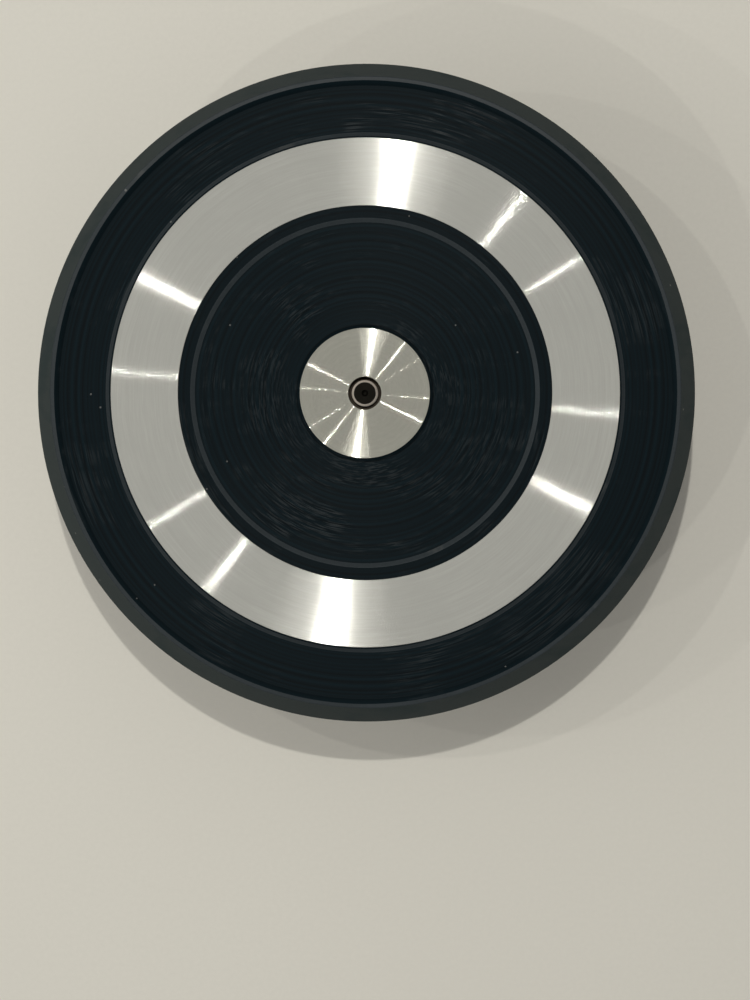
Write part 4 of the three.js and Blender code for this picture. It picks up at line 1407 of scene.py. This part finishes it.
@dataclass
class Pedestal:
    """The bell-shaped casting: a rim, a flaring bell and a neck bored for the bearings."""

    rim_height: float = 9 * MM
    rim_fillet: float = 3 * MM
    rim_wall: float = 5 * MM
    bell_wall: float = 5 * MM
    flange_run: float = 46 * MM
    flange_rise: float = 6 * MM
    bell_pull: float = 0.66
    neck_wall: float = 8 * MM
    neck_straight: float = 12 * MM
    neck_chamfer: float = 1.2 * MM
    housing_shoulder: float = 2 * MM
    mouth_height: float = 8 * MM
    boss_margin: float = 9 * MM
    foot_inset: float = 14 * MM
    foot_boss: float = 10 * MM
    screw_hole: float = 2.3 * MM
    bell_steps: int = 40

    def bell(self) -> tuple[list[Vector], list[Vector]]:
        """Returns the bell's outside, from rim to neck, and its inside, from rim to the bearing boss."""
        low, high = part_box("pedestal")
        radius, neck = high.x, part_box("upper_outer_race")[1].x + self.neck_wall
        start = Vector((radius - self.rim_fillet, low.z + self.rim_height))
        end = Vector((neck, high.z - self.neck_straight))
        first = Vector((start.x - self.flange_run, start.y + self.flange_rise))
        second = Vector((neck, end.y - self.bell_pull * (end.y - start.y)))
        outside, inside = [], []
        for step in range(self.bell_steps + 1):
            t = step / self.bell_steps
            s = 1 - t
            here = start * s**3 + first * (3 * s * s * t) + second * (3 * s * t * t) + end * t**3
            along = (first - start) * (s * s) + (second - first) * (2 * s * t) + (end - second) * (t * t)
            way = along.normalized()
            outside.append(here)
            inside.append(here + Vector((-way.y, way.x)) * self.bell_wall)
        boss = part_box("upper_outer_race")[1].x + self.boss_margin
        within = [p for p in inside if boss + 3 * MM < p.x < radius - self.rim_wall - 1 * MM]
        return outside, within

    def outline(self) -> list[Point]:
        """Returns the whole outline, from the housing's mouth out, up and back down the bore."""
        low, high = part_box("pedestal")
        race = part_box("upper_outer_race")
        lower_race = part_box("lower_outer_race")
        ring_low, ring_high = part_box("housing_retaining_ring")
        cast, bore = 0, 1
        outside, inside = self.bell()
        seat = race[1].x + 0.03 * MM
        boss = race[1].x + self.boss_margin
        mouth = low.z + self.mouth_height
        radius, rim_in = high.x, high.x - self.rim_wall
        neck = race[1].x + self.neck_wall
        shoulder = race[1].x - self.housing_shoulder
        groove = ring_high.y + 0.2 * MM
        ceiling = inside[-1].y
        under = rounded(
            [
                Corner(seat, mouth, 0.4 * MM, cast),
                Corner(boss, mouth, 1 * MM, cast),
                Corner(boss, ceiling, 3 * MM, cast),
                Corner(inside[-1].x, ceiling, 0.0, cast),
            ]
        )[:-1]
        cavity = [(p.x, p.y, cast) for p in reversed(inside)]
        rim = rounded(
            [
                Corner(inside[0].x, inside[0].y, 0.0, cast),
                Corner(rim_in, inside[0].y - 0.6 * MM, 2.5 * MM, cast),
                Corner(rim_in, low.z, 1 * MM, cast),
                Corner(radius, low.z, 1 * MM, cast),
                Corner(radius, low.z + self.rim_height, self.rim_fillet, cast),
                Corner(outside[0].x - 3 * MM, low.z + self.rim_height + 0.4 * MM, 0.0, cast),
            ],
            closed=False,
        )[1:-1]
        bell = [(p.x, p.y, cast) for p in outside[1:]]
        neck_points = rounded(
            [
                Corner(neck, outside[-1].y, 0.0, cast),
                Corner(neck, high.z - self.neck_chamfer, 0.5 * MM, cast),
                Corner(neck - self.neck_chamfer, high.z, 0.4 * MM, bore),
                Corner(seat, high.z, 0.3 * MM, bore),
                Corner(seat, ring_high.z, 0.03 * MM, bore),
                Corner(groove, ring_high.z, 0.03 * MM, bore),
                Corner(groove, ring_low.z, 0.03 * MM, bore),
                Corner(seat, ring_low.z, 0.03 * MM, bore),
                Corner(seat, race[0].z, 0.05 * MM, bore),
                Corner(shoulder, race[0].z, 0.3 * MM, bore),
                Corner(shoulder, lower_race[1].z, 0.3 * MM, bore),
                Corner(seat, lower_race[1].z, 0.05 * MM, bore),
                Corner(seat, mouth, 0.0, bore),
            ],
            closed=False,
        )[1:-1]
        return [*under, *cavity, *rim, *bell, *neck_points]

    def build(self) -> Object:
        """Makes the casting, adds the foot bosses and drills the screw holes."""
        low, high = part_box("pedestal")
        body = turned("pedestal_casting", self.outline(), [CAST_PAINT, MACHINED])
        feet = Round(4, high.x - self.foot_inset, 45.0)
        boss_top = low.z + self.rim_height - 0.3 * MM
        corners = [
            Corner(0.0, low.z),
            Corner(self.foot_boss, low.z, 0.6 * MM),
            Corner(self.foot_boss, boss_top),
            Corner(0.0, boss_top),
        ]
        boss = solid("foot_boss", corners, [CAST_PAINT], SMALL_SIDES)
        body = combined(body, feet.copies("foot_bosses", boss, CAST_PAINT), "UNION")
        foot_hole = prism("foot_hole", self.screw_hole, low.z - 1 * MM, low.z + 8 * MM, CAST_PAINT, 32)
        body = combined(body, feet.copies("foot_holes", foot_hole, CAST_PAINT), "DIFFERENCE")
        mouth = low.z + self.mouth_height
        cap_hole = prism("cap_hole", self.screw_hole, mouth - 1 * MM, mouth + 9.5 * MM, CAST_PAINT, 32)
        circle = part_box("upper_outer_race")[1].x + self.boss_margin / 2
        body = combined(body, Round(3, circle, 90.0).copies("cap_holes", cap_hole, CAST_PAINT), "DIFFERENCE")
        return place(body, "base", "pedestal_casting", "pedestal")


@dataclass
class Housing:
    """What closes the bearing housing: the ring above, and the cap and its screws below."""

    cap_plate: float = 2 * MM
    spigot_wall: float = 2.5 * MM
    screw_count: int = 3
    screw_circle: float = 20.5 * MM

    def cap(self) -> Object:
        """Makes the pressed cap with its spigot and screw holes."""
        low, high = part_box("bottom_cap")
        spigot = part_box("lower_outer_race")[1].x - 0.03 * MM
        level = low.z + self.cap_plate
        corners = [
            Corner(0.0, low.z + 0.5 * MM),
            Corner(9 * MM, low.z + 0.5 * MM, 0.4 * MM),
            Corner(10 * MM, low.z, 0.4 * MM),
            Corner(high.y, low.z, 0.5 * MM),
            Corner(high.y, level, 0.2 * MM),
            Corner(spigot, level, 0.1 * MM),
            Corner(spigot, high.z, 0.3 * MM),
            Corner(spigot - self.spigot_wall, high.z, 0.3 * MM),
            Corner(spigot - self.spigot_wall, level, 0.5 * MM),
            Corner(0.0, level),
        ]
        body = solid("bottom_cap_plate", corners, [PLATED_STEEL], MIDDLE_SIDES)
        hole = prism("cap_screw_hole", 2.3 * MM, low.z - 1 * MM, high.z, PLATED_STEEL, 32)
        holes = Round(self.screw_count, self.screw_circle, 90.0).copies("cap_screw_holes", hole, PLATED_STEEL)
        return combined(body, holes, "DIFFERENCE")

    def build(self) -> None:
        """Makes the ring, the cap and its screws."""
        low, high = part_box("housing_retaining_ring")
        ring = RetainingRing(high.y, 2.8 * MM, high.z - low.z, low.z, 44.0, inward=True)
        place(ring.build("housing_spring_ring", BLACK_STEEL), "base", "dark_steel", "housing_retaining_ring")
        place(self.cap(), "base", "plated_steel", "bottom_cap")
        screw_low, screw_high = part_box("cap_screw_1")
        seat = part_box("bottom_cap")[0].z
        screw = small_screw("cap_screw", screw_high.z - seat, seat - screw_low.z)
        moved(screw, lifted(seat))
        screws = Round(self.screw_count, self.screw_circle, 90.0).copies("cap_screws", screw, PLATED_STEEL)
        place(screws, "base", "plated_steel", *numbered("cap_screw", self.screw_count))


@dataclass
class Feet:
    """Four moulded rubber feet, each held by a screw sunk in its sole."""

    count: int = 4
    inset: float = 14 * MM
    radius: float = 9.5 * MM
    sole_radius: float = 8.5 * MM
    recess_radius: float = 3.9 * MM
    screw_seat: float = 2.6 * MM

    def foot(self) -> Object:
        """Makes one foot on the Z axis, with a shallow ring groove in its sole."""
        low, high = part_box("rubber_foot_1")
        hole = 2.3 * MM
        corners = [
            Corner(self.recess_radius, low.z, 0.3 * MM),
            Corner(5.6 * MM, low.z, 0.2 * MM),
            Corner(5.8 * MM, low.z + 0.5 * MM, 0.15 * MM),
            Corner(6.4 * MM, low.z + 0.5 * MM, 0.15 * MM),
            Corner(6.6 * MM, low.z, 0.2 * MM),
            Corner(self.sole_radius, low.z, 0.6 * MM),
            Corner(self.radius, high.z - 0.8 * MM, 0.4 * MM),
            Corner(self.radius, high.z, 0.2 * MM),
            Corner(hole, high.z, 0.1 * MM),
            Corner(hole, self.screw_seat, 0.1 * MM),
            Corner(self.recess_radius, self.screw_seat, 0.1 * MM),
        ]
        return turned("rubber_foot", rounded(corners), [FOOT_RUBBER], 64)

    def build(self) -> None:
        """Makes the feet and their screws."""
        ring = Round(self.count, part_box("pedestal")[1].x - self.inset, 45.0)
        feet = ring.copies("rubber_feet", self.foot(), FOOT_RUBBER)
        place(feet, "base", "foot_rubber", *numbered("rubber_foot", self.count))
        low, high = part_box("foot_screw_1")
        screw = small_screw("foot_screw", high.z - self.screw_seat, self.screw_seat - low.z)
        moved(screw, lifted(self.screw_seat))
        screws = ring.copies("foot_screws", screw, PLATED_STEEL)
        place(screws, "base", "plated_steel", *numbered("foot_screw", self.count))


# ------------------------------------------------------------------ the studio


@dataclass(frozen=True)
class Lamp:
    """A round lamp that lights the middle of the floor.

    share is the lamp's part of the floor's brightness, width its size, and z its height over the head.
    A lamp that isn't glossy lights things without showing in their shine.
    """

    name: str
    x: float
    y: float
    share: float
    width: float
    z: float = 1.35
    glossy: bool = True


@dataclass
class Studio:
    """A pale floor, a soft surround that is dim straight above, and small ceiling lamps."""

    floor_size: float = 6.0
    surround: float = 0.33
    overhead: float = 0.04
    overhead_reach: float = 0.35
    lamps: tuple[Lamp, ...] = (
        Lamp("lamp_back", 0.002, 0.296, 0.205, 0.018),
        Lamp("glow_back", 0.002, 0.296, 0.022, 0.13),
        Lamp("lamp_back_left", -0.51, 0.280, 0.038, 0.020),
        Lamp("lamp_front_left", -0.51, -0.55, 0.036, 0.022),
        Lamp("lamp_far_front_left", -1.03, -0.57, 0.020, 0.012),
        Lamp("lamp_far_left", -1.03, 0.125, 0.020, 0.012),
        Lamp("soft_panel", -0.75, 0.0, 0.05, 0.5, 0.6, glossy=False),
    )

    def floor(self) -> None:
        """Lays the paper."""
        half = self.floor_size / 2
        mesh = bpy.data.meshes.new("floor")
        corners = [(-half, -half, 0), (half, -half, 0), (half, half, 0), (-half, half, 0)]
        mesh.from_pydata(corners, [], [(0, 1, 2, 3)])
        mesh.materials.append(PAPER.material())
        shown("floor", mesh)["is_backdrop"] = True

    def light(self, lamp: Lamp) -> None:
        """Hangs one lamp, aimed at the origin."""
        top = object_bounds()[1].z
        where = Vector((lamp.x, lamp.y, top + lamp.z))
        distance = where.length
        slant = where.z / distance
        data = bpy.data.lights.new(lamp.name, "AREA")
        data.shape = "DISK"
        data.size = lamp.width
        data.energy = lamp.share * math.pi**2 * distance**2 / (PAPER.colour[0] * slant)
        data.color = (1.0, 0.985, 0.94)
        made = bpy.data.objects.new(lamp.name, data)
        bpy.context.scene.collection.objects.link(made)
        made.location = where
        made.visible_glossy = lamp.glossy
        made.rotation_euler = where.to_track_quat("Z", "Y").to_euler()

    def world(self) -> None:
        """Makes the surround: even at the sides, dim straight above."""
        made = bpy.data.worlds.new("surround")
        bpy.context.scene.world = made
        made.use_nodes = True
        made.node_tree.nodes.clear()
        graph = Graph(made.node_tree)
        way = graph.node("ShaderNodeTexCoord").outputs["Generated"]
        flat = graph.vector("LENGTH", graph.vector("MULTIPLY", way, (1.0, 1.0, 0.0)))
        up = graph.math("GREATER_THAN", graph.vector("DOT_PRODUCT", way, (0.0, 0.0, 1.0)), 0.0)
        reach = self.overhead_reach
        dim = graph.spread(flat, 0.6 * reach, 1.4 * reach, self.overhead, self.surround)
        level = graph.plus(graph.times(dim, up), graph.times(graph.minus(1.0, up), self.surround))
        sky = graph.node("ShaderNodeBackground", {"Color": (1.0, 0.99, 0.965, 1.0), "Strength": level})
        graph.node("ShaderNodeOutputWorld", {"Surface": sky.outputs[0]})

    def build(self) -> None:
        """Makes the floor, the lamps and the surround."""
        self.floor()
        for lamp in self.lamps:
            self.light(lamp)
        self.world()
        bpy.context.scene.view_settings.view_transform = "Standard"


@dataclass
class View:
    """The camera, almost straight above the head."""

    lens: float = 80.0
    height: float = 1.017
    x: float = 0.0256
    y: float = -0.0242
    aim_x: float = 0.0047
    aim_y: float = -0.0489

    def build(self) -> None:
        """Places the camera above the head, with +Y up in the picture."""
        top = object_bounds()[1].z
        eye = Vector((self.x, self.y, top + self.height))
        forward = (Vector((self.aim_x, self.aim_y, top)) - eye).normalized()
        right = forward.cross(Vector((0, 1, 0))).normalized()
        upward = right.cross(forward)
        data = bpy.data.cameras.new("camera")
        data.lens = self.lens
        made = bpy.data.objects.new("camera", data)
        bpy.context.scene.collection.objects.link(made)
        axes = Matrix((right, upward, -forward)).transposed().to_4x4()
        made.matrix_world = Matrix.Translation(eye) @ axes
        bpy.context.scene.camera = made


def main() -> None:
    """Builds the wheel and its studio."""
    logging.basicConfig(level=logging.INFO, format="%(message)s")
    View().build()
    WheelHead().build()
    SpindleSet().build()
    for side in Side:
        Bearing(side).build()
    Pedestal().build()
    Housing().build()
    Feet().build()
    Studio().build()


if __name__ == "__main__":
    main()
